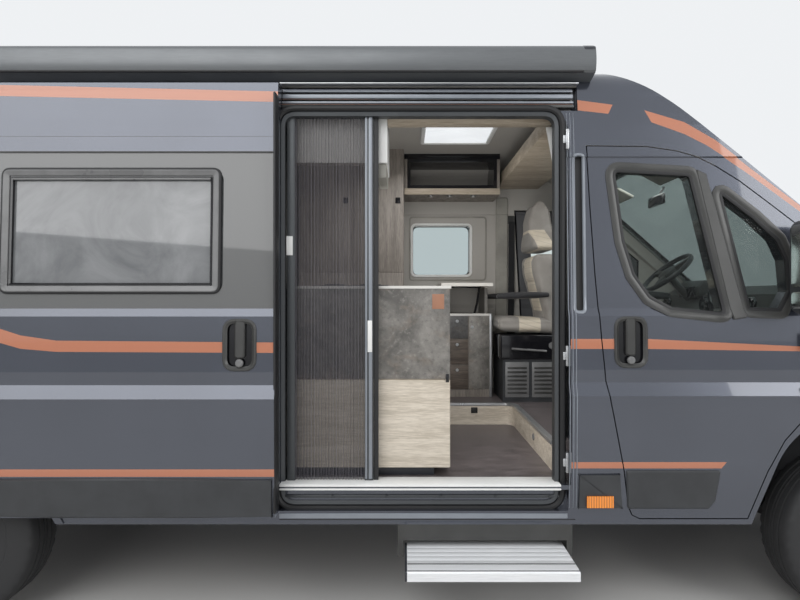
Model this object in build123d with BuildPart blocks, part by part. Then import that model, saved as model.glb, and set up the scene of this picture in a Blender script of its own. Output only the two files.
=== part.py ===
"""Camper van on a long high-roof panel van body, side door slid open.

Frame: +X forward, +Y to the van's left, +Z up, millimetres, origin on the ground
below the middle of the van.
"""

import math
import os

from build123d import *

# Overall sizes
NOSE_X = 2999
TAIL_X = -2975
HALF_WIDTH = 1025
ROOF_TOP = 2530
ROOF_END = 679
ROOF_BEND = 1200
RAKE = 39.7
PILLAR_SWEEP = 200
SCREEN_FOOT_Z = 1330
SILL_Z = 440

# Walls and clearances
WALL = 95
ROOF_WALL = 64
SKIN = 30
FIT = 0.3
SHUT_GAP = 5
DOOR_SETBACK = 30
FLANGE = 18
HINGE_R = 12
HINGE_PIN_R = 6
HINGE_PLAY = 0.08
HINGE_HALF = 35

# Hinge lines: cab doors, tail doors and bonnet
CAB_HINGE = (1800, -1030)
CAB_HINGE_Z = (1010, 1240)
TAIL_HINGE = (-2990, -935)
TAIL_HINGE_Z = (760, 1700, 2180)
BONNET_X = 2582
BONNET_HALF = 785

# Levels inside
FLOOR_TOP = 615
FLOOR_THICK = 65
CAB_FLOOR = 750
RAIL_Z0 = 430
HOUSING = 12
ROOF_SPLIT = 2385

# Wheels and axles
FRONT_AXLE = 2051
REAR_AXLE = -1984
TRACK_HALF = 905
REAR_TRACK_HALF = 895
TYRE_R = 372
TYRE_W = 225
RIM_R = 203
HUB_R = 62
PIN_R = 30
KINGPIN_Y = 790

# Raised lips round the arches
FLARE = 6
FLARE_WIDTH = 32

# Side door opening and the door slid open
OPEN_X0 = -530
OPEN_X1 = 743
OPEN_Z1 = 2244
OPEN_CORNER = 60
RAIL_X1 = 790
RAIL_DEPTH_Y = -915
SLIDE_LENGTH = 1270
SLIDE_OUT = 85
SLIDE_THICK = 75
SLIDE_Z0 = 500
SLIDE_Z1 = 2365

# Tail doors
TAIL_DOOR_THICK = 75
TAIL_DOOR_Z0 = 605
TAIL_MEET = 7
TAIL_JAMB = 145
JAMB_TOP = 60

# Entry step
STEP_X0 = 20
STEP_X1 = 720
STEP_DEPTH = 250
STEP_FRONT_Y = -1240
STEP_TOP = 340
STEP_THICK = 39

# Holes for a tow bar in the rear cross member
TOW_SPACING_Y = 220
TOW_SPACING_Z = 40
TOW_HOLE_R = 6.5

# Furniture
KITCHEN_X1 = 223
KITCHEN_LENGTH = 1200
KITCHEN_DEPTH = 520
WORKTOP_Z = 1485
WORKTOP_THICK = 12
PLATFORM_X = 715
PLATFORM_Y = 240
TABLE_Z = 1530
BED_TOP = 1160
MATTRESS = 140

# Half widths of the body by height, from the sill to the gutter
SECTION = [(990, 200), (1003, 480), (1020, 700), (1025, 1005), (1009, 1062), (1013, 1117),
           (1007, 1352), (994, 1385), (968, 2050), (974, 2056), (962, 2200), (940, 2330)]

os.makedirs("parts", exist_ok=True)


def keep(part, name):
    """Label a finished piece and write it."""
    part.label = name
    export_step(part, f"parts/{name}.step")
    return part


def van_form(side=0, top=0, nose=0):
    """Whole envelope of the van, pulled in at the sides, the roof and the nose."""
    with BuildPart() as form:
        rake = math.radians(RAKE)
        roof = ROOF_TOP - top
        for y, sweep in ((-1040, PILLAR_SWEEP), (0, 0), (1040, PILLAR_SWEEP)):
            start = ROOF_END - sweep - nose
            bend_x = start + ROOF_BEND * math.sin(rake)
            bend_z = roof - ROOF_BEND * (1 - math.cos(rake))
            foot_z = SCREEN_FOOT_Z - top * 0.4
            foot_x = bend_x + (bend_z - foot_z) / math.tan(rake)
            front = NOSE_X - sweep - nose
            with BuildSketch(Plane.XZ.offset(-y)):
                with BuildLine():
                    Polyline((-3100, 200), (-3100, roof), (start, roof))
                    RadiusArc((start, roof), (bend_x, bend_z), ROOF_BEND)
                    Polyline((bend_x, bend_z), (foot_x, foot_z), (front - 149, 1125 - top))
                    ThreePointArc((front - 149, 1125 - top), (front - 74, 1060 - top * 0.7), (front - 39, 960))
                    Polyline((front - 39, 960), (front - 9, 740), (front, 640), (front, 240),
                             (2350, 200), (-3100, 200))
                make_face()
        loft()
        with BuildSketch(Plane.YZ.offset(TAIL_X)):
            with BuildLine():
                wide = [(w - side, z) for w, z in SECTION]
                crown = ROOF_TOP - 6 - top
                Polyline(*wide)
                ThreePointArc(wide[-1], (905 - side, 2425 - top), (800 - side, 2478 - top))
                ThreePointArc((800 - side, 2478 - top), (0, crown), (side - 800, 2478 - top))
                ThreePointArc((side - 800, 2478 - top), (side - 905, 2425 - top), (side - 940, 2330))
                Polyline(*[(-w, z) for w, z in reversed(wide)])
                Line((-wide[0][0], 200), (wide[0][0], 200))
            make_face()
        extrude(amount=6000, mode=Mode.INTERSECT)
        with BuildSketch(Plane.XY):
            with BuildLine():
                Line((TAIL_X, 0), (TAIL_X, 940 - side))
                ThreePointArc((TAIL_X, 940 - side), (-2955, 1005 - side), (-2890, 1030 - side))
                Line((-2890, 1030 - side), (1500, 1030 - side))
                ThreePointArc((1500, 1030 - side), (2150, 1003 - side), (2700, 905 - side))
                ThreePointArc((2700, 905 - side), (2850 - nose, 800 - side), (2925 - nose, 600))
                Polyline((2925 - nose, 600), (3010 - nose, 0), (TAIL_X, 0))
            make_face()
            mirror(about=Plane.XZ)
        extrude(amount=2700, mode=Mode.INTERSECT)
    return form.part


def section_prism(side, top, x0, x1, z0, z1):
    """Length of the body's inner section, straight along X, between two heights."""
    with BuildPart() as prism:
        with BuildSketch(Plane.YZ.offset(x0)):
            with BuildLine():
                wide = [(w - side, z) for w, z in SECTION]
                Polyline(*wide)
                ThreePointArc(wide[-1], (905 - side, 2425 - top), (800 - side, 2478 - top))
                ThreePointArc((800 - side, 2478 - top), (0, ROOF_TOP - 6 - top), (side - 800, 2478 - top))
                ThreePointArc((side - 800, 2478 - top), (side - 905, 2425 - top), (side - 940, 2330))
                Polyline(*[(-w, z) for w, z in reversed(wide)])
                Line((-wide[0][0], 200), (wide[0][0], 200))
            make_face()
            with Locations((0, (z0 + z1) / 2)):
                Rectangle(2400, z1 - z0, mode=Mode.INTERSECT)
        extrude(amount=x1 - x0)
    return prism.part


def slab(x0, x1, y0, y1, z0, z1):
    """Plain block between two corners."""
    with BuildPart() as block:
        with Locations(((x0 + x1) / 2, (y0 + y1) / 2, (z0 + z1) / 2)):
            Box(x1 - x0, y1 - y0, z1 - z0)
    return block.part


def other_side(part):
    """The same piece on the van's left."""
    with BuildPart() as copy:
        add(mirror(part, about=Plane.XZ))
    return copy.part


def right_prism(points, grow=0, corner=0, y0=-1300, y1=-700):
    """Block with an outline drawn on the van's right side, x and z."""
    with BuildPart() as prism:
        with BuildSketch(Plane.XZ.offset(-y1)):
            with BuildLine():
                Polyline(*points, close=True)
            make_face()
            if corner:
                fillet(objects=vertices(), radius=corner)
            if grow:
                offset(amount=grow, kind=Kind.INTERSECTION)
        extrude(amount=y1 - y0)
    return prism.part


def arch_prism(axle_x, half, top, grow=0, y0=-1300, y1=-560):
    """Wheel arch: leaning sides, a flat crown and round shoulders."""
    with BuildPart() as prism:
        with BuildSketch(Plane.XZ.offset(-y1)):
            with BuildLine():
                Polyline((axle_x - half, 150), (axle_x - half, 400), (axle_x - half + 110, top - 235))
                ThreePointArc((axle_x - half + 110, top - 235), (axle_x - half + 260, top - 50),
                              (axle_x, top))
                ThreePointArc((axle_x, top), (axle_x + half - 260, top - 50),
                              (axle_x + half - 110, top - 235))
                Polyline((axle_x + half - 110, top - 235), (axle_x + half, 400), (axle_x + half, 150),
                         (axle_x - half, 150))
            make_face()
            if grow:
                offset(amount=grow, kind=Kind.INTERSECTION)
        extrude(amount=y1 - y0)
    return prism.part


def hinge_barrel(x, y, z):
    """Moving half of a hinge: a bored barrel round the pin."""
    with BuildPart() as barrel:
        with BuildSketch(Plane.XY.offset(z - HINGE_HALF)):
            with Locations((x, y)):
                Circle(HINGE_R)
                Circle(HINGE_PIN_R + HINGE_PLAY, mode=Mode.SUBTRACT)
        extrude(amount=2 * HINGE_HALF)
    return barrel.part


def hinge_pin(x, y, z):
    """Fixed half of a hinge: the pin with a collar above and below the barrel."""
    with BuildPart() as pin:
        with BuildSketch(Plane.XY.offset(z - HINGE_HALF - 30)):
            with Locations((x, y)):
                Circle(HINGE_PIN_R)
        extrude(amount=2 * HINGE_HALF + 60)
        for level in (z - HINGE_HALF - 30, z + HINGE_HALF + 5):
            with BuildSketch(Plane.XY.offset(level)):
                with Locations((x, y)):
                    Circle(HINGE_R)
            extrude(amount=25)
    return pin.part


def cab_hinge_pockets():
    """Room in the pillar and the wing for the cab door's hinges."""
    with BuildPart() as pockets:
        x, y = CAB_HINGE
        for z in CAB_HINGE_Z:
            add(slab(x - 16, x + 17, y - 100, y + 17, z - HINGE_HALF - 34, z + HINGE_HALF + 34))
    return pockets.part


# Outlines on the right side, x and z
CAB_DOOR = [(820, 2106), (833, 1840), (852, 1535), (875, 1250), (892, 1075), (930, 885), (970, 677),
            (992, 520), (1010, 480), (1045, 463), (1520, 463), (1600, 677), (1670, 808), (1730, 876),
            (1795, 930), (1795, 1720), (1730, 1772), (1620, 1858), (1500, 1950), (1395, 2017),
            (1321, 2054), (1222, 2083), (1089, 2103)]
CAB_WINDOW = [(935, 2000), (1285, 1980), (1430, 1352), (1185, 1380), (1090, 1430), (1020, 1530),
              (975, 1680)]
QUARTER_LIGHT = [(1400, 1915), (1560, 1790), (1665, 1690), (1705, 1600), (1715, 1460), (1665, 1372),
                 (1525, 1377)]
SIDE_WINDOW = [(75, 1600), (511, 1600), (511, 1976), (75, 1976)]
DOOR_WINDOW = [(-1700, 1450), (-755, 1450), (-755, 1976), (-1700, 1976)]
GROOVE = [(770, 1372), (806, 1372), (806, 2060), (770, 2060)]
SIDE_HANDLE = [(-750, 1121), (-606, 1121), (-606, 1342), (-750, 1342)]
CAB_HANDLE = [(932, 1125), (1078, 1125), (1078, 1350), (932, 1350)]
OPENING = [(OPEN_X0, FLOOR_TOP), (OPEN_X1, FLOOR_TOP), (OPEN_X1, OPEN_Z1), (OPEN_X0, OPEN_Z1)]
SCREEN = [(-885, 1362), (885, 1362), (800, 2262), (0, 2290), (-800, 2262)]


def handle(outline):
    """Pocket of a door handle with an upright bar across it."""
    (x0, z0), (x1, z1) = outline[0], outline[2]
    middle = (x0 + x1) / 2
    with BuildPart() as pocket:
        add(right_prism(outline, corner=50))
        add(right_prism([(middle - 20, z0 + 55), (middle + 20, z0 + 55), (middle + 20, z1 + 5), (middle - 20, z1 + 5)],
                        corner=15), mode=Mode.SUBTRACT)
        add(rind, mode=Mode.INTERSECT)
    return pocket.part


def arch_lip(arch):
    """Raised lip that follows a wheel arch on the outer skin."""
    with BuildPart() as lip:
        add(arch_prism(*arch, grow=FLARE_WIDTH))
        add(arch_prism(*arch), mode=Mode.SUBTRACT)
        add(slab(-3000, 3000, -1300, -700, 150, SILL_Z + 5), mode=Mode.SUBTRACT)
        add(flare_skin, mode=Mode.INTERSECT)
    return lip.part


outer = van_form()
inner = van_form(side=WALL, top=ROOF_WALL, nose=70)
skin_line = van_form(side=SKIN, top=SKIN, nose=SKIN)
glass_out = van_form(side=12, top=12, nose=14)
glass_in = van_form(side=18, top=18, nose=24)
deep_line = van_form(side=60, top=60, nose=60)
rind = outer - glass_in
flare_skin = van_form(side=-FLARE) - outer

# Living space: the inner form above the floor, closed in front by the dash bulkhead
with BuildPart() as cavity:
    add(inner)
    add(slab(-3200, 3100, -1100, 1100, 0, FLOOR_TOP), mode=Mode.SUBTRACT)
    add(slab(1990, 3100, -1100, 1100, 0, 1300), mode=Mode.SUBTRACT)

with BuildPart() as room:
    add(van_form(side=WALL + FIT, top=ROOF_WALL + FIT, nose=100))

with BuildPart() as shell:
    add(outer)
    add(cavity.part, mode=Mode.SUBTRACT)
    add(slab(-3200, 3100, -1100, 1100, 0, SILL_Z), mode=Mode.SUBTRACT)
    add(section_prism(TAIL_JAMB, JAMB_TOP, TAIL_X - 10, TAIL_X + TAIL_DOOR_THICK + 10,
                      TAIL_DOOR_Z0 - SHUT_GAP, ROOF_SPLIT + 10), mode=Mode.SUBTRACT)

with BuildPart() as windscreen_cut:
    with BuildSketch(Plane.YZ.offset(1000)):
        with BuildLine():
            Polyline(*SCREEN, close=True)
        make_face()
        fillet(objects=vertices().group_by(Axis.Y)[0] + vertices().group_by(Axis.Y)[1], radius=60)
    extrude(amount=2000)

# Frame round the tail doors
with BuildPart() as tail_jamb:
    add(outer)
    add(slab(TAIL_X - 1, TAIL_X + TAIL_DOOR_THICK + 10, -1100, 1100, TAIL_DOOR_Z0 - SHUT_GAP, 2700),
        mode=Mode.INTERSECT)
    add(section_prism(TAIL_JAMB, JAMB_TOP, TAIL_X - 10, TAIL_X + 200, 300, ROOF_SPLIT + 10), mode=Mode.SUBTRACT)

# Body sides
FRONT_ARCH = (FRONT_AXLE, 530, 925)
REAR_ARCH = (REAR_AXLE, 500, 850)

with BuildPart() as side_wall:
    add(shell.part)
    add(slab(TAIL_X - 1, 1797, -1100, -WALL - 640, SILL_Z, ROOF_SPLIT)
        + slab(1797, 2700, -1100, -600, SCREEN_FOOT_Z + 10, 2230)
        - slab(1000, 2700, -1100, -600, 2230, 2400), mode=Mode.INTERSECT)
    add(arch_prism(*FRONT_ARCH), mode=Mode.SUBTRACT)
    add(arch_prism(*REAR_ARCH), mode=Mode.SUBTRACT)
    add(right_prism(CAB_DOOR, grow=-FLANGE), mode=Mode.SUBTRACT)
    with BuildPart(mode=Mode.PRIVATE) as rebate:
        add(right_prism(CAB_DOOR))
        add(van_form(side=SKIN + SHUT_GAP + 3), mode=Mode.SUBTRACT)
    add(rebate.part, mode=Mode.SUBTRACT)
    add(windscreen_cut.part, mode=Mode.SUBTRACT)
    add(slab(TAIL_X - 10, 1700, -940 + 12, -600, 400, FLOOR_TOP), mode=Mode.SUBTRACT)
    add(cab_hinge_pockets(), mode=Mode.SUBTRACT)
    add(tail_jamb.part & slab(TAIL_X - 1, 0, -1100, -100, SILL_Z, ROOF_SPLIT))
    add(right_prism(GROOVE, corner=16) & rind, mode=Mode.SUBTRACT)
    add(arch_lip(REAR_ARCH))
    for z in TAIL_HINGE_Z:
        add(hinge_pin(*TAIL_HINGE, z))
        for level in (z - HINGE_HALF - 30, z + HINGE_HALF + 5):
            add(slab(TAIL_HINGE[0], TAIL_X + 60, TAIL_HINGE[1] - HINGE_R, TAIL_HINGE[1], level, level + 25))

with BuildPart() as side_right:
    add(side_wall.part)
    with BuildSketch(Plane.XZ.offset(700)):
        with BuildLine():
            Polyline(*OPENING, close=True)
        make_face()
        fillet(objects=vertices().group_by(Axis.Y)[-1], radius=OPEN_CORNER)
    extrude(amount=600, mode=Mode.SUBTRACT)
    add(slab(OPEN_X0 - 5, RAIL_X1, -1100, RAIL_DEPTH_Y, OPEN_Z1 + 20, ROOF_SPLIT - 5), mode=Mode.SUBTRACT)
    for z, out in ((OPEN_Z1 + 44, 24), (OPEN_Z1 + 78, 18), (OPEN_Z1 + 112, 10)):
        add(slab(OPEN_X0, RAIL_X1 - 20, RAIL_DEPTH_Y - out, RAIL_DEPTH_Y + 1, z, z + 14))
    add(slab(OPEN_X0 - 120, OPEN_X1 - 10, -1100, -965, SLIDE_Z0, FLOOR_TOP - 20), mode=Mode.SUBTRACT)
keep(side_right.part, "side_right")

with BuildPart() as side_left:
    add(other_side(side_wall.part))
    add(other_side(right_prism(SIDE_WINDOW, corner=50)), mode=Mode.SUBTRACT)
keep(side_left.part, "side_left")

with BuildPart() as roof:
    add(shell.part)
    add(slab(TAIL_X - 1, 1000, -1100, 1100, ROOF_SPLIT, 2700)
        + slab(1000, 2000, -1100, 1100, 2230, 2700), mode=Mode.INTERSECT)
    add(windscreen_cut.part, mode=Mode.SUBTRACT)
    add(tail_jamb.part & slab(TAIL_X - 1, 0, -1100, 1100, ROOF_SPLIT, 2700))
    for x in (335, -1500):
        add(slab(x - 195, x + 195, -190, 190, 2300, 2600), mode=Mode.SUBTRACT)
keep(roof.part, "roof")

# Fixed glass: windscreen, left window and the window of the slid door
with BuildPart() as fixed_glass:
    with BuildPart(mode=Mode.PRIVATE) as pane:
        add(glass_out)
        add(glass_in, mode=Mode.SUBTRACT)
        add(windscreen_cut.part, mode=Mode.INTERSECT)
    add(pane.part)
    with BuildPart(mode=Mode.PRIVATE) as small_pane:
        add(glass_out)
        add(glass_in, mode=Mode.SUBTRACT)
        add(other_side(right_prism(SIDE_WINDOW, grow=-FIT, corner=50)), mode=Mode.INTERSECT)
    add(small_pane.part)
    with BuildPart(mode=Mode.PRIVATE) as door_pane:
        add(glass_out)
        add(glass_in, mode=Mode.SUBTRACT)
        add(right_prism(DOOR_WINDOW, grow=-FIT, corner=45), mode=Mode.INTERSECT)
    add(door_pane.part.moved(Location((0, -SLIDE_OUT, 0))))
keep(fixed_glass.part, "fixed_glass")

# Sliding door at its open place, with roller arms to the lower rail
with BuildPart() as sliding_door:
    with BuildPart(mode=Mode.PRIVATE) as slab_door:
        add(outer)
        add(van_form(side=SLIDE_THICK), mode=Mode.SUBTRACT)
        add(slab(OPEN_X0 - SLIDE_LENGTH, OPEN_X0, -1100, -800, SLIDE_Z0, SLIDE_Z1), mode=Mode.INTERSECT)
        add(right_prism(DOOR_WINDOW, corner=45), mode=Mode.SUBTRACT)
        add(handle(SIDE_HANDLE), mode=Mode.SUBTRACT)
    add(slab_door.part.moved(Location((0, -SLIDE_OUT, 0))))
    add(slab(OPEN_X0 - 100, OPEN_X0 - 40, -1040, -965 - FIT, SLIDE_Z0 + 15, SLIDE_Z0 + 45))
keep(sliding_door.part, "sliding_door")

# Cab doors
with BuildPart() as cab_door:
    with BuildPart(mode=Mode.PRIVATE) as skin:
        add(outer)
        add(skin_line, mode=Mode.SUBTRACT)
        add(right_prism(CAB_DOOR, grow=-SHUT_GAP), mode=Mode.INTERSECT)
    add(skin.part)
    with BuildPart(mode=Mode.PRIVATE) as box:
        add(outer)
        add(inner, mode=Mode.SUBTRACT)
        add(right_prism(CAB_DOOR, grow=-DOOR_SETBACK), mode=Mode.INTERSECT)
    add(box.part)
    add(right_prism(CAB_WINDOW, corner=30), mode=Mode.SUBTRACT)
    add(right_prism(QUARTER_LIGHT, corner=18), mode=Mode.SUBTRACT)
    add(handle(CAB_HANDLE), mode=Mode.SUBTRACT)
    add(cab_hinge_pockets(), mode=Mode.SUBTRACT)
    for z in CAB_HINGE_Z:
        add(hinge_barrel(*CAB_HINGE, z))
        add(slab(CAB_HINGE[0] - 50, CAB_HINGE[0] - HINGE_PIN_R - 1, CAB_HINGE[1] - HINGE_R, CAB_HINGE[1] + 30,
                 z - HINGE_HALF, z + HINGE_HALF))
keep(cab_door.part, "door_front_right")
keep(other_side(cab_door.part), "door_front_left")

with BuildPart() as cab_glass:
    for outline, corner in ((CAB_WINDOW, 30), (QUARTER_LIGHT, 18)):
        with BuildPart(mode=Mode.PRIVATE) as pane:
            add(glass_out)
            add(glass_in, mode=Mode.SUBTRACT)
            add(right_prism(outline, grow=-FIT, corner=corner), mode=Mode.INTERSECT)
        add(pane.part)
keep(cab_glass.part, "door_glass_right")
keep(other_side(cab_glass.part), "door_glass_left")

# Mirror on the front corner of each cab door
with BuildPart() as cab_mirror:
    with BuildSketch(Plane.XZ.offset(1035)):
        with Locations((1745, 1450)):
            RectangleRounded(80, 120, 20)
    extrude(amount=40)
    with BuildSketch(Plane.XZ.offset(1068)):
        with Locations((1735, 1560)):
            RectangleRounded(150, 400, 50)
    extrude(amount=186)
    fillet(faces().filter_by(Axis.Y).sort_by(Axis.Y)[0].edges(), radius=40)
    add(slab(1722, 1772, -1036, -993, 1420, 1480))
keep(cab_mirror.part, "mirror_right")
keep(other_side(cab_mirror.part), "mirror_left")

# Tail doors
with BuildPart() as tail_door:
    add(section_prism(TAIL_JAMB + SHUT_GAP, JAMB_TOP + SHUT_GAP, TAIL_X, TAIL_X + TAIL_DOOR_THICK, TAIL_DOOR_Z0,
                      ROOF_SPLIT + 10 - SHUT_GAP))
    add(slab(TAIL_X - 1, TAIL_X + 200, -1100, -TAIL_MEET, 300, 2600), mode=Mode.INTERSECT)
    with BuildSketch(Plane.YZ.offset(TAIL_X - 10)):
        with Locations((-430, 1750)):
            RectangleRounded(600, 520, 60)
    extrude(amount=200, mode=Mode.SUBTRACT)
    for z in TAIL_HINGE_Z:
        add(hinge_barrel(*TAIL_HINGE, z))
        add(slab(TAIL_HINGE[0] - HINGE_R, TAIL_X - 2, TAIL_HINGE[1] + HINGE_PIN_R + 2, TAIL_HINGE[1] + 145,
                 z - HINGE_HALF, z + HINGE_HALF))
        add(slab(TAIL_X - 3, TAIL_X + 10, TAIL_HINGE[1] + 130, TAIL_HINGE[1] + 190,
                 z - HINGE_HALF, z + HINGE_HALF))
keep(tail_door.part, "rear_door_right")
keep(other_side(tail_door.part), "rear_door_left")

with BuildPart() as tail_glass:
    with BuildSketch(Plane.YZ.offset(TAIL_X + 12)):
        with Locations((-430, 1750)):
            RectangleRounded(600 - 2 * FIT, 520 - 2 * FIT, 60 - FIT)
    extrude(amount=6)
keep(tail_glass.part, "rear_glass_right")
keep(other_side(tail_glass.part), "rear_glass_left")

# Nose: wings, bonnet, front panel, bumper, grille and lamps from one thin form
with BuildPart() as nose_shell:
    add(outer)
    add(skin_line, mode=Mode.SUBTRACT)
    add(slab(1802, 3100, -1100, 1100, 230, SCREEN_FOOT_Z - 10), mode=Mode.INTERSECT)

LAMP = (2350, 3100, -960, -640, 850, 1110)
with BuildPart() as wings:
    add(nose_shell.part)
    add(slab(1802, 2760, -1100, -790, 640, SCREEN_FOOT_Z - 10), mode=Mode.INTERSECT)
    add(arch_prism(*FRONT_ARCH), mode=Mode.SUBTRACT)
    add(slab(LAMP[0] - FIT, LAMP[1], LAMP[2] - 200, LAMP[3] + FIT, LAMP[4] - FIT, LAMP[5] + FIT),
        mode=Mode.SUBTRACT)
    add(cab_hinge_pockets(), mode=Mode.SUBTRACT)
    add(arch_lip(FRONT_ARCH) & slab(1802, 2760, -1100, -790, 640, 1200))
    for z in CAB_HINGE_Z:
        add(hinge_pin(*CAB_HINGE, z))
        for level in (z - HINGE_HALF - 30, z + HINGE_HALF + 5):
            add(slab(CAB_HINGE[0], CAB_HINGE[0] + 40, CAB_HINGE[1] - HINGE_R + 2, CAB_HINGE[1] + HINGE_R,
                     level, level + 25))
            add(slab(CAB_HINGE[0] + 8, CAB_HINGE[0] + 40, CAB_HINGE[1], CAB_HINGE[1] + 40, level, level + 25))
    mirror(about=Plane.XZ)
keep(wings.part, "wings")

with BuildPart() as bonnet:
    add(nose_shell.part)
    add(slab(BONNET_X + 3, 3100, -BONNET_HALF, BONNET_HALF, 1010, SCREEN_FOOT_Z - 10), mode=Mode.INTERSECT)
    for side in (-1, 1):
        edge = sorted((side * (-LAMP[3] - 10), side * 1100))
        add(slab(2300, 3100, edge[0], edge[1], 900, LAMP[5] + 10), mode=Mode.SUBTRACT)
keep(bonnet.part, "bonnet")

with BuildPart() as head_lamps:
    with BuildPart(mode=Mode.PRIVATE) as lamp:
        add(outer)
        add(deep_line, mode=Mode.SUBTRACT)
        add(slab(*LAMP), mode=Mode.INTERSECT)
    add(lamp.part)
    mirror(about=Plane.XZ)
keep(head_lamps.part, "head_lamps")

with BuildPart() as front_bumper:
    add(nose_shell.part)
    add(slab(2300, 3100, -1100, 1100, 240, 635), mode=Mode.INTERSECT)
    for side in (-1, 1):
        add(arch_prism(*FRONT_ARCH) if side < 0 else other_side(arch_prism(*FRONT_ARCH)),
            mode=Mode.SUBTRACT)
    with BuildSketch(Plane.YZ.offset(2800)):
        with Locations((0, 400)):
            RectangleRounded(900, 150, 40)
    extrude(amount=300, mode=Mode.SUBTRACT)
keep(front_bumper.part, "front_bumper")

with BuildPart() as front_panel:
    add(nose_shell.part)
    add(slab(2760.5, 3100, -1100, 1100, 636, 845), mode=Mode.INTERSECT)
    add(nose_shell.part & slab(2500, 3100, -LAMP[3] * -1 + 5, -(LAMP[3] + 5), 846, 1000))
    with BuildSketch(Plane.YZ.offset(2700)):
        with Locations((0, 800)):
            RectangleRounded(1000, 240, 50)
    extrude(amount=400, mode=Mode.SUBTRACT)
    for y in (-420, 420):
        add(nose_shell.part & slab(2700, 3100, y - 20, y + 20, 999, 1010 - FIT))
keep(front_panel.part, "front_panel")

with BuildPart() as grille:
    with BuildPart(mode=Mode.PRIVATE) as bars:
        for z in range(700, 910, 35):
            add(slab(2700, 3100, -498, 498, z, z + 14))
        for y in (-330, 0, 330):
            add(slab(2700, 3100, y - 8, y + 8, 684, 916))
    add(bars.part)
    add(skin_line, mode=Mode.INTERSECT)
    add(deep_line, mode=Mode.SUBTRACT)
keep(grille.part, "grille")

# Scuttle below the windscreen and the bulkhead behind the engine
with BuildPart() as scuttle:
    with BuildPart(mode=Mode.PRIVATE) as strip:
        add(outer)
        add(deep_line, mode=Mode.SUBTRACT)
        add(slab(1802, 3000, -1100, 1100, SCREEN_FOOT_Z - 10, SCREEN_FOOT_Z + 10)
            + slab(1802, 3000, -600, 600, SCREEN_FOOT_Z + 10, SCREEN_FOOT_Z + 32), mode=Mode.INTERSECT)
    add(strip.part)
    with BuildPart(mode=Mode.PRIVATE) as cowl:
        add(nose_shell.part)
        add(slab(1810, BONNET_X - 2, -BONNET_HALF - 5 + FIT, BONNET_HALF + 5 - FIT, 1000, SCREEN_FOOT_Z),
            mode=Mode.INTERSECT)
    add(cowl.part)
    add(slab(2020, 2060, -880, 880, 945, 1275))
    add(slab(2020, 2060, -540, 540, 550, 945))
keep(scuttle.part, "scuttle")

# Floors and wheel housings
with BuildPart() as floor_pan:
    add(slab(TAIL_X + TAIL_DOOR_THICK + 15, 1580, -HALF_WIDTH + WALL + 2, HALF_WIDTH - WALL - 2,
             FLOOR_TOP - FLOOR_THICK, FLOOR_TOP))
    add(slab(1580, 2019, -540, 540, FLOOR_TOP - FLOOR_THICK, FLOOR_TOP))
    for side in (-1, 1):
        with Locations((1200, side * 945, FLOOR_TOP)):
            Box(800, 100, 200, mode=Mode.SUBTRACT)
    for arch in (FRONT_ARCH, REAR_ARCH):
        with BuildPart(mode=Mode.PRIVATE) as well:
            add(arch_prism(*arch, grow=HOUSING + FIT, y0=-1300, y1=-540 + FIT))
        add(well.part, mode=Mode.SUBTRACT)
        add(other_side(well.part), mode=Mode.SUBTRACT)
keep(floor_pan.part, "floor_pan")

with BuildPart() as wheel_housings:
    for arch in (FRONT_ARCH, REAR_ARCH):
        with BuildPart(mode=Mode.PRIVATE) as housing:
            add(arch_prism(*arch, grow=HOUSING, y0=-900, y1=-540))
            add(arch_prism(*arch, y0=-1300, y1=-540 - HOUSING), mode=Mode.SUBTRACT)
            add(slab(-3000, 3000, -1100, 0, 0, FLOOR_TOP - FLOOR_THICK), mode=Mode.SUBTRACT)
            add(slab(LAMP[0] - 10, 3000, -1100, 0, 0, 1200), mode=Mode.SUBTRACT)
        add(housing.part)
    mirror(about=Plane.XZ)
keep(wheel_housings.part, "wheel_housings")

# Underbody
with BuildPart() as chassis_frame:
    for side in (-1, 1):
        y0, y1 = sorted((side * 455, side * 525))
        add(slab(-2800, 2200, y0, y1, RAIL_Z0, FLOOR_TOP - FLOOR_THICK - FIT))
        with Locations((2450, side * 430, 490)):
            Box(600, 60, 100)
    for x in (-2700, -1450, -200, 700, 1500, 2180):
        with Locations((x, 0, 500)):
            Box(60, 980, 80)
    with BuildSketch(Plane.YZ.offset(-2740)):
        with Locations((0, 500)):
            with GridLocations(TOW_SPACING_Y, TOW_SPACING_Z, 2, 2):
                Circle(TOW_HOLE_R)
    extrude(amount=80, mode=Mode.SUBTRACT)
keep(chassis_frame.part, "chassis_frame")

with BuildPart() as engine:
    with Locations((2480, 0, 720)):
        Box(420, 2 * (400 - FIT), 430)
    fillet(edges().filter_by(Axis.Z), radius=40)
keep(engine.part, "engine")

with BuildPart() as front_subframe:
    with BuildSketch(Plane.XY.offset(290)):
        with BuildLine():
            Polyline((1880, -400), (1990, -690), (FRONT_AXLE - 25, -KINGPIN_Y - 10),
                     (FRONT_AXLE + 25, -KINGPIN_Y - 10), (2110, -690), (2250, -400), close=True)
        make_face()
        mirror(about=Plane.XZ)
        with Locations((2065, 0)):
            Rectangle(370, 800)
    extrude(amount=45)
    for side in (-1, 1):
        with Locations((2200, side * 400, 385)):
            Box(60, 60, 110)
keep(front_subframe.part, "front_subframe")

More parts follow.
